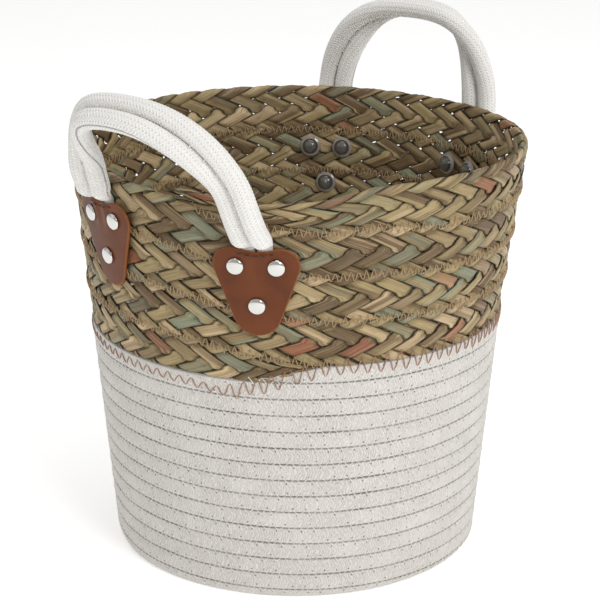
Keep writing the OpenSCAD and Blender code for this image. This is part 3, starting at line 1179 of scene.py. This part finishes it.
@dataclass
class Lathe:
    """A turned shape, closed on its axis at both ends. Sizes are in millimetres."""

    name: str
    profile: list[tuple[float, float]]
    steps: int = 48

    def item(self) -> bpy.types.Object:
        """Make the shape as an object that a tree copies.

        Returns:
            The object, whose points carry their height in millimetres.
        """
        rings = [
            [Vector((r * math.cos(a), r * math.sin(a), z)) for a in spread(0, TAU, self.steps)[:-1]]
            for r, z in self.profile[1:-1]
        ]
        ends = (Vector((0, 0, self.profile[0][1])), Vector((0, 0, self.profile[-1][1])))
        mesh = mesh_of(self.name, rings, ends)
        rise = mesh.attributes.new("rise", "FLOAT", "POINT")
        for point, value in zip(mesh.vertices, rise.data):
            value.value = point.co.z / MM
        return bpy.data.objects.new(self.name, mesh)


class Copies:
    """A tree that puts one item at each of a few places."""

    def __init__(self) -> None:
        """Write the tree."""
        self.recipe = Recipe("Copies", size=1.0)
        tree = self.recipe.tree
        info = add_node(tree, "GeometryNodeObjectInfo", None, {"Object": self.recipe.source.outputs["item"]})
        kind = {"data_type": "FLOAT_VECTOR"}
        turn = add_node(tree, "GeometryNodeInputNamedAttribute", kind, {"Name": "turn"})
        spots = {"Points": self.recipe.source.outputs["Geometry"], "Instance": info.outputs["Geometry"],
                 "Rotation": turn.outputs["Attribute"], "Scale": self.recipe["size"]}
        self.recipe.close(add_node(tree, "GeometryNodeInstanceOnPoints", None, spots).outputs[0])

    def make(
        self,
        name: str,
        finish: Finish,
        item: bpy.types.Object,
        places: list[Matrix],
    ) -> bpy.types.Object:
        """Make the copies as one piece.

        Args:
            name: The piece's name.
            finish: What the copies are made of.
            item: The object to copy.
            places: Where each copy stands, in millimetres.

        Returns:
            The piece.
        """
        mesh = bpy.data.meshes.new(name)
        mesh.from_pydata([place.to_translation() * MM for place in places], [], [])
        turns = mesh.attributes.new("turn", "FLOAT_VECTOR", "POINT")
        for i, place in enumerate(places):
            turns.data[i].vector = place.to_euler()
        return self.recipe.make(name, finish.material, mesh, item=item)


def arc(x: float, z: float, r: float, start: float, stop: float, steps: int) -> list[tuple[float, float]]:
    """Points of an arc in a turned profile, with its angles in degrees."""
    turns = [math.radians(a) for a in spread(start, stop, steps)]
    return [(x + r * math.cos(a), z + r * math.sin(a)) for a in turns]


def capsule(end: float, middle: float, r: float) -> list[tuple[float, float]]:
    """Profile of a short stitch: its end, where its rounded end begins, and its radius."""
    return [(0, -end), *arc(0, -middle, r, -80, 0, 4), *arc(0, middle, r, 0, 80, 4), (0, end)]


# ---------------------------------------------------------------- handles


class Handle(Enum):
    """The two handles."""

    FRONT = ("front_handle", 30.0, 0.0)
    BACK = ("back_handle", 5.0, 180.0)

    def __init__(self, body: str, lean: float, turn: float) -> None:
        """Keep what sets the handle apart.

        Args:
            body: The body that it is.
            lean: How far it leans out, in degrees.
            turn: Where it is round the basket, in degrees.
        """
        self.body = body
        self.lean = lean
        self.turn = turn


Station = tuple[Vector, Vector, float, float]


def smooth(value: float) -> float:
    """Ease from 0 to 1, and stay there on both sides."""
    share = max(0.0, min(1.0, value))
    return share * share * (3 - 2 * share)


@dataclass
class PatchShape:
    """The leather patch's outline, and how it stands off the wall. Sizes are in millimetres."""

    height: float = 52.0
    foot_z: float = 165.5
    tip_r: float = 13.5
    shoulder_r: float = 10.5
    shoulder_x: float = 13.5
    top_dip: float = 2.2
    thickness: float = 1.8
    gap: float = 0.2
    rise: float = 3.2
    foot_r: float = 109.5
    flare: float = 0.09

    @property
    def dip_r(self) -> float:
        """Radius of the hollow top edge."""
        side = self.shoulder_r - self.top_dip
        return (self.shoulder_x**2 + side**2 - self.shoulder_r**2) / (2 * self.top_dip)

    def dip_at(self, x: float) -> float:
        """Height of the hollow top edge above the tip."""
        middle = self.height - self.top_dip + self.dip_r
        return middle - math.sqrt(self.dip_r**2 - x * x)

    def gap_under(self, z: float) -> float:
        """Gap between wall and leather at a height."""
        return self.gap + self.rise * (z - self.foot_z) / self.height

    def out(self, z: float) -> float:
        """Radius of the leather's outer face at a height."""
        return self.foot_r + self.flare * z + self.gap_under(z) + self.thickness

    def outline(self) -> list[Vector]:
        """Points round the patch from the middle of its tip, towards the right.

        Returns:
            The points, with their heights above the tip.
        """
        shoulder = Vector((self.shoulder_x, self.height - self.shoulder_r))
        run = shoulder - Vector((0, self.tip_r))
        normal = math.atan2(run.y, run.x) - math.acos((self.tip_r - self.shoulder_r) / run.length)
        dip_y = self.height - self.top_dip + self.dip_r
        dip = math.atan2(dip_y - shoulder.y, shoulder.x)
        half = [Vector((math.cos(a), math.sin(a))) * self.tip_r + Vector((0, self.tip_r))
                for a in spread(-math.pi / 2, normal, 14)]
        start = shoulder + Vector((math.cos(normal), math.sin(normal))) * self.shoulder_r
        half += [half[-1].lerp(start, i / 16) for i in range(1, 16)]
        half += [Vector((math.cos(a), math.sin(a))) * self.shoulder_r + shoulder
                 for a in spread(normal, math.pi - dip, 30)]
        half += [Vector((x, self.dip_at(x))) for x in spread(half[-1].x, 0.0, 12)[1:]]
        return half + [Vector((-p.x, p.y)) for p in reversed(half[1:-1])]


class Corner(Enum):
    """The four patches."""

    FRONT_LEFT = (Handle.FRONT, -21.1, 13.0)
    FRONT_RIGHT = (Handle.FRONT, 23.1, 0.0)
    BACK_LEFT = (Handle.BACK, 23.1, 0.0)
    BACK_RIGHT = (Handle.BACK, -23.1, 0.0)

    def __init__(self, handle: Handle, aside: float, lift: float) -> None:
        """Keep where the patch is sewn.

        Args:
            handle: The handle that it holds.
            aside: How far it is from the handle's middle round the basket, in degrees.
            lift: How much higher than the others it is, in millimetres.
        """
        self.aside = aside
        self.turn = handle.turn + aside
        self.shape = PatchShape(foot_z=PatchShape.foot_z + lift)


@dataclass
class HandleRope:
    """One knitted rope of a handle, from under one patch over the arch to under the other."""

    handle: Handle
    side: float
    half: float = HandleKnit.rope_r
    pair_x: float = 5.8
    hinge_z: float = 248.0
    wall_y: float = 129.46
    lean_y: float = 0.31
    arch_x: float = 53.0
    arch_flat: float = 0.75
    arch_rise: float = 61.0
    arch_sink: float = 9.0
    sway: float = 2.8
    lean_sway: float = 0.24
    turn_power: float = 1.5
    tongue_half: float = 4.3
    tongue_x: float = 4.75
    clear: float = 0.2
    tongue_low: float = 33.5
    swell_h: float = 7.0
    hinge_gap: float = 0.65
    patch_top: float = 56.5
    bend: float = 50.0
    groove: float = 3.3
    soft_reach: int = 28
    soft_rounds: int = 3
    shoulder_pull: Vector = Vector((4, 7, -5)).freeze()
    foot_pull: Vector = Vector((3, 5, 0)).freeze()

    @property
    def hinge_y(self) -> float:
        """How far out the hinge line is, which is further for a handle that leans out."""
        return self.wall_y + self.lean_y * self.handle.lean

    @property
    def drawn(self) -> float:
        """How much the left shoulder is drawn in, from how far the handle leans out."""
        return max(0.0, self.handle.lean - 10) / 20

    @property
    def top(self) -> float:
        """Height where the rope's end meets the arch."""
        return self.hinge_z - self.half - self.hinge_gap

    def corner(self, mirror: float) -> Corner:
        """The patch over one end of the rope.

        Args:
            mirror: Which end, -1 for the left one and 1 for the right one.

        Returns:
            The patch's corner.
        """
        if self.handle is Handle.FRONT:
            return Corner.FRONT_LEFT if mirror < 0 else Corner.FRONT_RIGHT
        return Corner.BACK_RIGHT if mirror < 0 else Corner.BACK_LEFT

    def arch(self, p: float) -> Vector:
        """The arch's middle line.

        Args:
            p: How far along it, from 0 on the left to 1 on the right.

        Returns:
            The place between the handle's two ropes.
        """
        start = math.asin(self.arch_sink / self.arch_rise)
        angle = start + (math.pi - 2 * start) * p
        height = self.arch_rise * math.sin(angle) - self.arch_sink
        share = math.cos(angle) / math.cos(start)
        x = -self.arch_x * math.cos(start) * math.copysign(abs(share) ** self.arch_flat, share)
        share = height / (self.arch_rise - self.arch_sink)
        x -= (self.sway + self.lean_sway * self.handle.lean) * share**2
        lean = math.radians(self.handle.lean)
        out, up = math.sin(lean) * height, math.cos(lean) * height
        here = Vector((x, -self.hinge_y - out, self.hinge_z + up))
        # A handle that leans far out is drawn in at its left shoulder, where its patch is higher
        share = math.exp(-(((p - 0.2) / 0.2) ** 2)) * smooth(p / 0.12)
        return here + (self.shoulder_pull * share + self.foot_pull * (1 - smooth(p / 0.2))) * self.drawn

    def across(self, p: float) -> Vector:
        """Direction from the arch's middle line to this rope, which turns towards the top.

        Args:
            p: How far along the arch, from 0 on the left to 1 on the right.

        Returns:
            The direction, of length one.
        """
        lean = math.radians(self.handle.lean)
        tilt = Vector((0, -math.cos(lean), -math.sin(lean)))
        leg = Vector((0, -math.sin(lean), math.cos(lean))) * (1 if p < 0.5 else -1)
        run = (self.arch(p + 0.001) - self.arch(p - 0.001)).normalized()
        high = max(0.0, math.sin(math.pi * p))
        along = leg.lerp(run, min(1.0, 2 * high)).normalized()
        early = self.drawn * smooth(p / 0.5) if p < 0.5 else 0.0
        turn = math.pi / 2 * max(high**self.turn_power, early)
        return (-along.cross(tilt) * math.cos(turn) - tilt * math.sin(turn)) * self.side

    def foot(self, z: float, mirror: float) -> Station:
        """One place along the rope below the hinge.

        Args:
            z: The place's height.
            mirror: Which end of the rope, -1 for the left one and 1 for the right one.

        Returns:
            The rope's middle, its flat direction and its two half-widths.
        """
        corner = self.corner(mirror)
        patch = corner.shape
        swell_z = patch.foot_z + patch.height
        swell = smooth((z - swell_z) / self.swell_h)
        wide = self.tongue_half + (self.half - self.tongue_half) * swell
        slack = (patch.gap_under(min(z, swell_z)) - 2 * self.clear) / 2
        deep = slack + (self.half - slack) * swell
        wall = patch.foot_r + patch.flare * z
        apart = self.tongue_x + (self.pair_x - self.tongue_x) * swell
        turn = math.radians(abs(corner.aside)) + self.side * apart / wall
        reach = wall + self.clear + deep
        share = smooth((z - swell_z) / (self.top - swell_z))
        here = Vector((reach * math.sin(turn), -reach * math.cos(turn), z))
        foot = self.arch(0.0) if mirror < 0 else self.arch(1.0)
        middle = here.lerp(Vector((foot.x * mirror + self.side * self.pair_x, foot.y, z)), share)
        turn *= 1 - share
        middle.x *= mirror
        return middle, Vector((math.cos(turn) * mirror, math.sin(turn), 0)), wide, deep

    def between(self, a: Station, b: Station) -> list[Station]:
        """Places on the way from one to another, where the rope is round."""
        return [(a[0].lerp(b[0], t), a[1].lerp(b[1], t), self.half, self.half)
                for t in spread(0, 1, 18)[1:-1]]

    def stations(self) -> list[Station]:
        """Set out the places along the rope.

        Returns:
            For each, the rope's middle, its flat direction and its two half-widths.
        """
        left, right = (self.corner(m).shape.foot_z + self.tongue_low for m in (-1.0, 1.0))
        rise = [self.foot(z, -1.0) for z in spread(left, self.top, 120)]
        arch = []
        for p in spread(0.0, 1.0, 640):
            across = self.across(p)
            arch.append((self.arch(p) + across * self.pair_x, across * self.side, self.half, self.half))
        fall = [self.foot(z, 1.0) for z in spread(self.top, right, 120)]
        return rise + self.between(rise[-1], arch[0]) + arch + self.between(arch[-1], fall[0]) + fall

    def softened(self, stations: list[Station]) -> list[Vector]:
        """Let the rope bend in soft curves.

        Args:
            stations: The places along the rope.

        Returns:
            The rope's middle at each of them.
        """
        middles = [station[0] for station in stations]
        # Each point is drawn to the mean of those round it
        reach = self.soft_reach
        for _ in range(self.soft_rounds):
            middles = middles[:reach] + [
                sum(middles[i - reach : i + reach + 1], Vector()) / (2 * reach + 1)
                for i in range(reach, len(middles) - reach)
            ] + middles[-reach:]
        # Under the leather it lies where the leather holds it
        for i, station in enumerate(stations):
            corner = self.corner(-1.0 if i < len(stations) / 2 else 1.0)
            free = (station[0].z - corner.shape.foot_z - corner.shape.height) / 12
            middles[i] = station[0].lerp(middles[i], smooth(free))
        return middles

    def path(self) -> bpy.types.Mesh:
        """Set out the points along the rope.

        Returns:
            A mesh of points, which carry the directions and sizes of the rope's section.
        """
        stations = self.stations()
        middles = self.softened(stations)
        turned = Matrix.Rotation(math.radians(self.handle.turn), 3, "Z")
        mesh = bpy.data.meshes.new("rope_path")
        mesh.from_pydata([turned @ m * MM for m in middles], [], [])
        labels = ("flat", "deep", "run")
        store = {label: mesh.attributes.new(label, "FLOAT_VECTOR", "POINT") for label in labels}
        length = 0.0
        for i, (_, flat, wide, deep) in enumerate(stations):
            ahead, behind = min(i + 1, len(middles) - 1), max(i - 1, 0)
            along = (middles[ahead] - middles[behind]).normalized()
            flat = (flat - along * flat.dot(along)).normalized()
            length += (middles[i] - middles[behind]).length
            store["flat"].data[i].vector = turned @ flat * wide * MM
            store["deep"].data[i].vector = turned @ along.cross(flat) * deep * MM
            store["run"].data[i].vector = (length, deep, 0.0)
        return mesh

    def recipe(self) -> Recipe:
        """Write the tree that sweeps the rope's section along its path.

        Returns:
            The recipe, which is the same for every rope.
        """
        recipe = Recipe("Handle rope", sides=32, rings=100)
        path = recipe.source.outputs["Geometry"]
        mesh, along, across, up = recipe.bar(recipe["sides"], recipe["rings"])
        step = {0: along * recipe["rings"]}
        index = add_node(recipe.tree, "FunctionNodeFloatToInt", {"rounding_mode": "ROUND"}, step)
        middle = recipe.node("GeometryNodeInputPosition").outputs[0]
        kind = {"data_type": "FLOAT_VECTOR"}
        stored = [recipe.node("GeometryNodeInputNamedAttribute", kind, Name=label).outputs["Attribute"]
                  for label in ("flat", "deep", "run")]
        found = []
        for value in (middle, *stored):
            inputs = {"Geometry": path, "Value": value, "Index": index.outputs[0]}
            sample = recipe.node("GeometryNodeSampleIndex", kind, **inputs)
            found.append(parted(recipe.tree, sample.outputs[0]))
        centre, flat, deep, run = found
        around = up.math("ARCTAN2", across)
        # Knitted rows: each is a short ridge round the rope, and the rows step from column to column
        column = (around * (HandleKnit.columns / TAU)).math("PINGPONG", 0.5)
        row = ((run[0] + column * HandleKnit.slope) * (TAU / HandleKnit.row)).math("SINE")
        knit = row * 0.016 + column.ramp(0.0, 0.2) * 0.025 + 0.98
        place = [centre[i] + (flat[i] * across + deep[i] * up) * knit for i in range(3)]
        mesh = recipe.keep(mesh, "yarn", (run[0], around * self.half, run[1]))
        mesh = recipe.move(mesh, (place[0], place[1], place[2]))
        return recipe.close(mesh)

    def build(self, name: str, cotton: Finish, recipe: Recipe) -> None:
        """Make the rope in place of the frame's rope and its ends.

        Args:
            name: The piece's name.
            cotton: The rope's finish.
            recipe: The tree that sweeps a rope along its path.
        """
        path = self.path()
        piece = recipe.make(name, cotton.material, path, rings=len(path.vertices) - 1)
        body = self.handle.body
        role = "outer" if self.side > 0 else "inner"
        end = body.replace("handle", "{}_rope_ends")
        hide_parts(f"{body}_{role}_rope", end.format("left"), end.format("right"))
        # The line just over both patches, tilted where one patch is higher than the other, is worked out but
        # not used
        left, right = (self.corner(m).shape.foot_z + self.patch_top for m in (-1.0, 1.0))
        along = Vector(((left - right) / (2 * self.arch_x), 0, 1)).normalized()
        start = Vector((0, 0, (left + right) / 2))
        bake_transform(piece)
        LOG.info("%s: %d faces, bends between basket and %s", name, len(piece.data.polygons), body)

    def sew(self, copies: Copies, thread: Finish, stitches: int = 17) -> None:
        """Sew the handle's two ropes together, with short stitches down both grooves.

        Args:
            copies: The tree that sets out copies of an item.
            thread: The thread's finish.
            stitches: How many spaces there are along the arch.
        """
        stitch = Lathe("rope_stitch", capsule(1.5, 1.1, 0.36), 10).item()
        turned = Matrix.Rotation(math.radians(self.handle.turn), 4, "Z")
        places = []
        for i in range(1, stitches):
            p = i / stitches
            run = (self.arch(p + 0.001) - self.arch(p - 0.001)).normalized()
            across = self.across(p) * self.side
            across = (across - run * across.dot(run)).normalized()
            for face in (-1, 1):
                out = run.cross(across) * face
                axes = Matrix((run, out, across)).transposed().to_4x4()
                places.append(turned @ Matrix.Translation(self.arch(p) + out * self.groove) @ axes)
        body = self.handle.body
        piece = copies.make(f"{body}_stitches", thread, stitch, places)
        stand_for(piece, body, "white_thread", f"{body}_thread")


# ---------------------------------------------------------------- patches and rivets


class Fittings:
    """The small parts that are alike on every patch: a rivet, its clear back and a stitch.

    Sizes are in millimetres.
    """

    def __init__(self) -> None:
        """Turn the three shapes."""
        dome = [(x - 0.02, 0.62 + z * 1.6 / 4.8) for x, z in arc(0, 0, 4.8, 16, 88, 12)]
        post = [(0, -11.9), (1.5, -11.9), (1.5, 0.05), (4.55, 0.05)]
        rim = arc(4.5, 0.45, 0.35, -90, 55, 6)
        self.head = Lathe("head", [*post, *rim, *dome, (0, 2.22)]).item()
        dome = [(x, 1.2 + z * 3.3 / 4.75) for x, z in arc(0, 0, 4.75, 8, 87, 16)]
        socket = [(0, 1.9), (1.55, 1.9), (1.55, 0.0), (6.1, 0.0)]
        flange = arc(6.1, 0.4, 0.4, -90, 70, 6) + arc(5.3, 1.5, 0.45, 250, 190, 4)
        self.cap = Lathe("cap", [*socket, *flange, *dome, (0, 4.5)]).item()
        self.stitch = Lathe("stitch", capsule(1.3, 0.9, 0.42), 12).item()


@dataclass
class Patch:
    """One leather patch with its stitches, three rivets and their clear backs."""

    corner: Corner
    shape: PatchShape
    rivet_turn: float = 4.85
    rivet_high: float = 41.0
    rivet_low: float = 18.0
    rivet_tilt: float = 7.0
    edge_r: float = 0.75
    stitch_step: float = 4.3
    stitch_drop: float = 2.3
    back_gap: float = 0.4
    plait_t: float = 5.0
    middle_y: float = 27.0
    sheet_step: float = 3.2
    puff_run: float = 3.0
    puff: float = 1.1
    puff_y: float = 30.0
    puff_ease: float = 20.0
    rope_x: float = 4.75
    rope_w: float = 3.0
    sink: float = 0.35
    sink_r: float = 6.2

    @property
    def spots(self) -> tuple[tuple[float, float], ...]:
        """The rivets' places: degrees to one side, and height above the tip."""
        side, high = self.rivet_turn, self.rivet_high
        return (-side, high), (side, high), (0.0, self.rivet_low)

    def swell(self, x: float, y: float) -> float:
        """How far the leather stands out over the rope ends, and sinks round the rivets.

        Args:
            x: The place's distance from the patch's middle.
            y: Its height above the tip.

        Returns:
            The distance outwards.
        """
        over = smooth((y - self.puff_y) / self.puff_ease)
        ropes = sum(math.exp(-(((x - rope) / self.rope_w) ** 2)) for rope in (-self.rope_x, self.rope_x))
        reach = self.shape.out(self.shape.foot_z + self.rivet_high)
        away = [math.hypot(x - math.radians(turn) * reach, y - high) for turn, high in self.spots]
        sunk = sum(math.exp(-((distance / self.sink_r) ** 4)) for distance in away)
        return self.puff * over * ropes - self.sink * sunk

    def on_wall(self, turn: float, x: float, y: float, out: float) -> Vector:
        """A place on the leather.

        Args:
            turn: Where the patch is round the basket, in degrees.
            x: The place's distance from the patch's middle.
            y: Its height above the tip.
            out: How far out it is from the leather's outer face.

        Returns:
            The place.
        """
        z = self.shape.foot_z + y
        reach = self.shape.out(z) + out
        here = Vector((x, -math.sqrt(reach * reach - x * x), z))
        return Matrix.Rotation(math.radians(turn), 3, "Z") @ here

    def leather(self, name: str, turn: float) -> bpy.types.Mesh:
        """Make one patch: a thick sheet with rounded, burnished edges.

        Args:
            name: The mesh's name.
            turn: Where the patch is round the basket, in degrees.

        Returns:
            The mesh, whose points carry their distance from the edge in millimetres.
        """
        outline = self.shape.outline()
        count = len(outline)
        inward = []
        for i in range(count):
            run = outline[(i + 1) % count] - outline[i - 1]
            inward.append(Vector((-run.y, run.x)).normalized())
        middle = Vector((0, self.middle_y))
        thick = self.shape.thickness
        inland = 5.0
        rings: list[list[Vector]] = []
        marks: list[float] = []

        def ring(inset: float, share: float, out: float) -> None:
            """Add one ring.

            Args:
                inset: How far it is set in from the edge.
                share: How large it then stays, as it shrinks towards the middle.
                out: How far out it is from the leather's outer face.
            """
            points = [middle.lerp(p + n * inset, share) for p, n in zip(outline, inward)]
            puff = smooth(inset / self.puff_run) if out > -thick / 2 else 0.0
            rings.append([self.on_wall(turn, p.x, p.y, out + puff * self.swell(p.x, p.y)) for p in points])
            marks.append(inset if share == 1.0 else inland)

        for share in (0.3, 0.7, 0.93):
            ring(1.0, share, -thick)
        for angle in spread(-90, 0, 4):
            bend = math.radians(angle)
            ring(self.edge_r * (1 - math.cos(bend)), 1.0, -thick + self.edge_r * (1 + math.sin(bend)))
        for angle in spread(0, 90, 6):
            bend = math.radians(angle)
            ring(self.edge_r * (1 - math.cos(bend)), 1.0, self.edge_r * (math.sin(bend) - 1))
        for inset in (1.1, 1.5, 2.0, 2.6, self.sheet_step):
            ring(inset, 1.0, 0.0)
        for share in spread(0.95, 0.06, 18):
            ring(self.sheet_step, share, 0.0)
        back = self.on_wall(turn, middle.x, middle.y, -thick)
        front = self.on_wall(turn, middle.x, middle.y, self.swell(0, middle.y))
        mesh = mesh_of(name, rings, (back, front))
        edge = mesh.attributes.new("edge", "FLOAT", "POINT")
        values = [mark for mark in marks for _ in range(count)] + [inland, inland]
        edge.data.foreach_set("value", values)
        return mesh

    def frame(self, turn: float, y: float, out: float) -> Matrix:
        """A place on the leather whose Z points straight out of the wall.

        Args:
            turn: Where the place is round the basket, in degrees.
            y: Its height above the tip.
            out: How far out it is from the leather's outer face.

        Returns:
            The place and its axes.
        """
        z = self.shape.foot_z + y
        stand = Matrix.Rotation(math.radians(turn), 4, "Z") @ Matrix.Rotation(math.pi / 2, 4, "X")
        return stand @ Matrix.Translation((0, z, self.shape.out(z) + out))

    def build(self, copies: Copies, items: Fittings, finishes: tuple[Finish, ...]) -> None:
        """Make all that belongs to the patch.

        Args:
            copies: The tree that sets out copies of an item.
            items: The shapes of a rivet, a clear back and a stitch.
            finishes: The finishes of the leather, stitches, rivets and clear backs.
        """
        leather, dark, metal, clear = finishes
        place = self.corner.name.lower()
        turn = self.corner.turn
        patch = bpy.data.objects.new(f"{place}_leather", self.leather(f"{place}_leather", turn))
        bpy.context.scene.collection.objects.link(patch)
        patch.data.materials.append(leather.material)
        stand_for(patch, "basket", "leather", f"{place}_patch")
        tilt = Matrix.Rotation(math.radians(self.rivet_tilt), 4, "X")
        heads, caps, stitches = [], [], []
        for across, y in self.spots:
            spot = self.frame(turn + across, y, 0.0) @ tilt
            heads.append(spot @ Matrix.Translation((0, 0, 0.1)))
            gap = self.shape.gap_under(self.shape.foot_z + y) + self.back_gap
            depth = gap + self.shape.thickness + self.plait_t
            caps.append(spot @ Matrix.Translation((0, 0, -depth)) @ Matrix.Rotation(math.pi, 4, "X"))
        for i in range(-2, 3):
            x = i * self.stitch_step
            y = self.shape.dip_at(x) - self.stitch_drop
            across = math.degrees(x / self.shape.out(self.shape.foot_z + y))
            puff = self.swell(x, y) * smooth(self.stitch_drop / self.puff_run)
            sunk = self.frame(turn + across, y, puff + 0.12)
            stitches.append(sunk @ Matrix.Rotation(math.pi / 2, 4, "Y"))
        for kind, finish, item, spots, slot, node in (
            ("rivets", metal, items.head, heads, "rivet_metal", "rivets"),
            ("clear_backs", clear, items.cap, caps, "clear_plastic", "rivet_backs"),
            ("top_stitches", dark, items.stitch, stitches, "dark_thread", "stitches"),
        ):
            piece = copies.make(f"{place}_{kind}", finish, item, spots)
            stand_for(piece, "basket", slot, f"{place}_{node}")


# ---------------------------------------------------------------- room, light and camera


@dataclass(frozen=True)
class Studio:
    """A pale floor, soft light and the camera."""

    turn: float = math.radians(32.4)
    rise: float = math.radians(19.66)
    distance: float = 1271 * MM
    target_z: float = 122 * MM
    lens: float = 125.8
    shift: tuple[float, float] = (0.0072, 0.0567)

    def camera(self) -> None:
        """Place the camera and make it the scene's own."""
        data = bpy.data.cameras.new("camera")
        data.lens = self.lens
        data.sensor_width = 36.0
        data.shift_x, data.shift_y = self.shift
        camera = bpy.data.objects.new("camera", data)
        bpy.context.scene.collection.objects.link(camera)
        level = math.cos(self.rise)
        away = Vector((math.sin(self.turn) * level, -math.cos(self.turn) * level, math.sin(self.rise)))
        camera.location = Vector((0, 0, self.target_z)) + away * self.distance
        camera.rotation_euler = (-away).to_track_quat("-Z", "Y").to_euler()
        bpy.context.scene.camera = camera

    def floor(self) -> None:
        """Lay the floor."""
        mesh = bpy.data.meshes.new("floor")
        reach = 6.0
        corners = [(-reach, -reach, 0), (reach, -reach, 0), (reach, reach, 0), (-reach, reach, 0)]
        mesh.from_pydata(corners, [], [(0, 1, 2, 3)])
        floor = bpy.data.objects.new("floor", mesh)
        floor.location.z = -0.2 * MM
        bpy.context.scene.collection.objects.link(floor)
        pale = Finish("Pale floor", "#fbfbfa", 0.9, Emission_Strength=0.35)
        pale.shader.inputs["Emission Color"].default_value = (1, 1, 1, 1)
        mesh.materials.append(pale.material)

    def lamp(self, name: str, place: tuple[float, float, float], size: float, power: float) -> None:
        """Hang one soft lamp that faces the basket.

        Args:
            name: The lamp's name.
            place: Where it hangs.
            size: How wide it is.
            power: Its power in watts.
        """
        data = bpy.data.lights.new(name, "AREA")
        data.shape = "DISK"
        data.size = size
        data.energy = power
        lamp = bpy.data.objects.new(name, data)
        lamp.location = place
        lamp.rotation_euler = (Vector((0, 0, 0.15)) - Vector(place)).to_track_quat("-Z", "Y").to_euler()
        bpy.context.scene.collection.objects.link(lamp)

    def light(self) -> None:
        """Light the room evenly, with a brighter side to the right."""
        world = bpy.data.worlds.new("room")
        world.use_nodes = True
        world.node_tree.nodes["Background"].inputs["Color"].default_value = (1, 1, 1, 1)
        world.node_tree.nodes["Background"].inputs["Strength"].default_value = 0.5
        bpy.context.scene.world = world
        self.lamp("key", (1.7, -0.8, 1.4), 1.0, 20.0)
        self.lamp("fill", (-1.3, -1.5, 1.0), 1.4, 2.0)
        self.lamp("top", (0.0, 0.2, 2.0), 1.4, 9.0)

    def build(self) -> None:
        """Set up the room."""
        self.camera()
        self.floor()
        self.light()
        bpy.context.scene.view_settings.view_transform = "Standard"


def main() -> None:
    """Load the frame, dress it and report each piece."""
    logging.basicConfig(level=logging.INFO, format="%(name)s: %(message)s", stream=sys.stdout)
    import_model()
    Studio().build()
    wall = Wall()
    cotton = CottonCord("Knitted cotton cord", "#dcd8d3", "#bab5ad")
    white = Thread("White cotton thread", "#e6e3dc")
    CordBasket(wall).build(cotton, white)
    tan = Thread("Tan polyester thread", "#b0946c")
    brown = Thread("Brown polyester thread", "#a57d64")
    SeagrassPlait(wall).build(SeagrassLeaf("Dried seagrass leaf"), tan, brown)
    knit = HandleKnit("Knitted handle rope", "#f0eeea", "#d3cfc8")
    sweep = HandleRope(Handle.FRONT, 1.0).recipe()
    copies = Copies()
    for handle in Handle:
        for side, role in ((1.0, "outer"), (-1.0, "inner")):
            HandleRope(handle, side).build(f"{handle.body}_{role}_knit", knit, sweep)
        HandleRope(handle, 1.0).sew(copies, white)
    chrome = Finish("Polished nickel plate", "#d5d3cf", 0.09, Metallic=1.0)
    clear = ClearBack("Clear moulded plastic")
    dark = Thread("Dark brown thread", "#3c2418")
    items = Fittings()
    finishes = (Leather("Coated brown leather"), dark, chrome, clear)
    for corner in Corner:
        Patch(corner, corner.shape).build(copies, items, finishes)


if __name__ == "__main__":
    main()
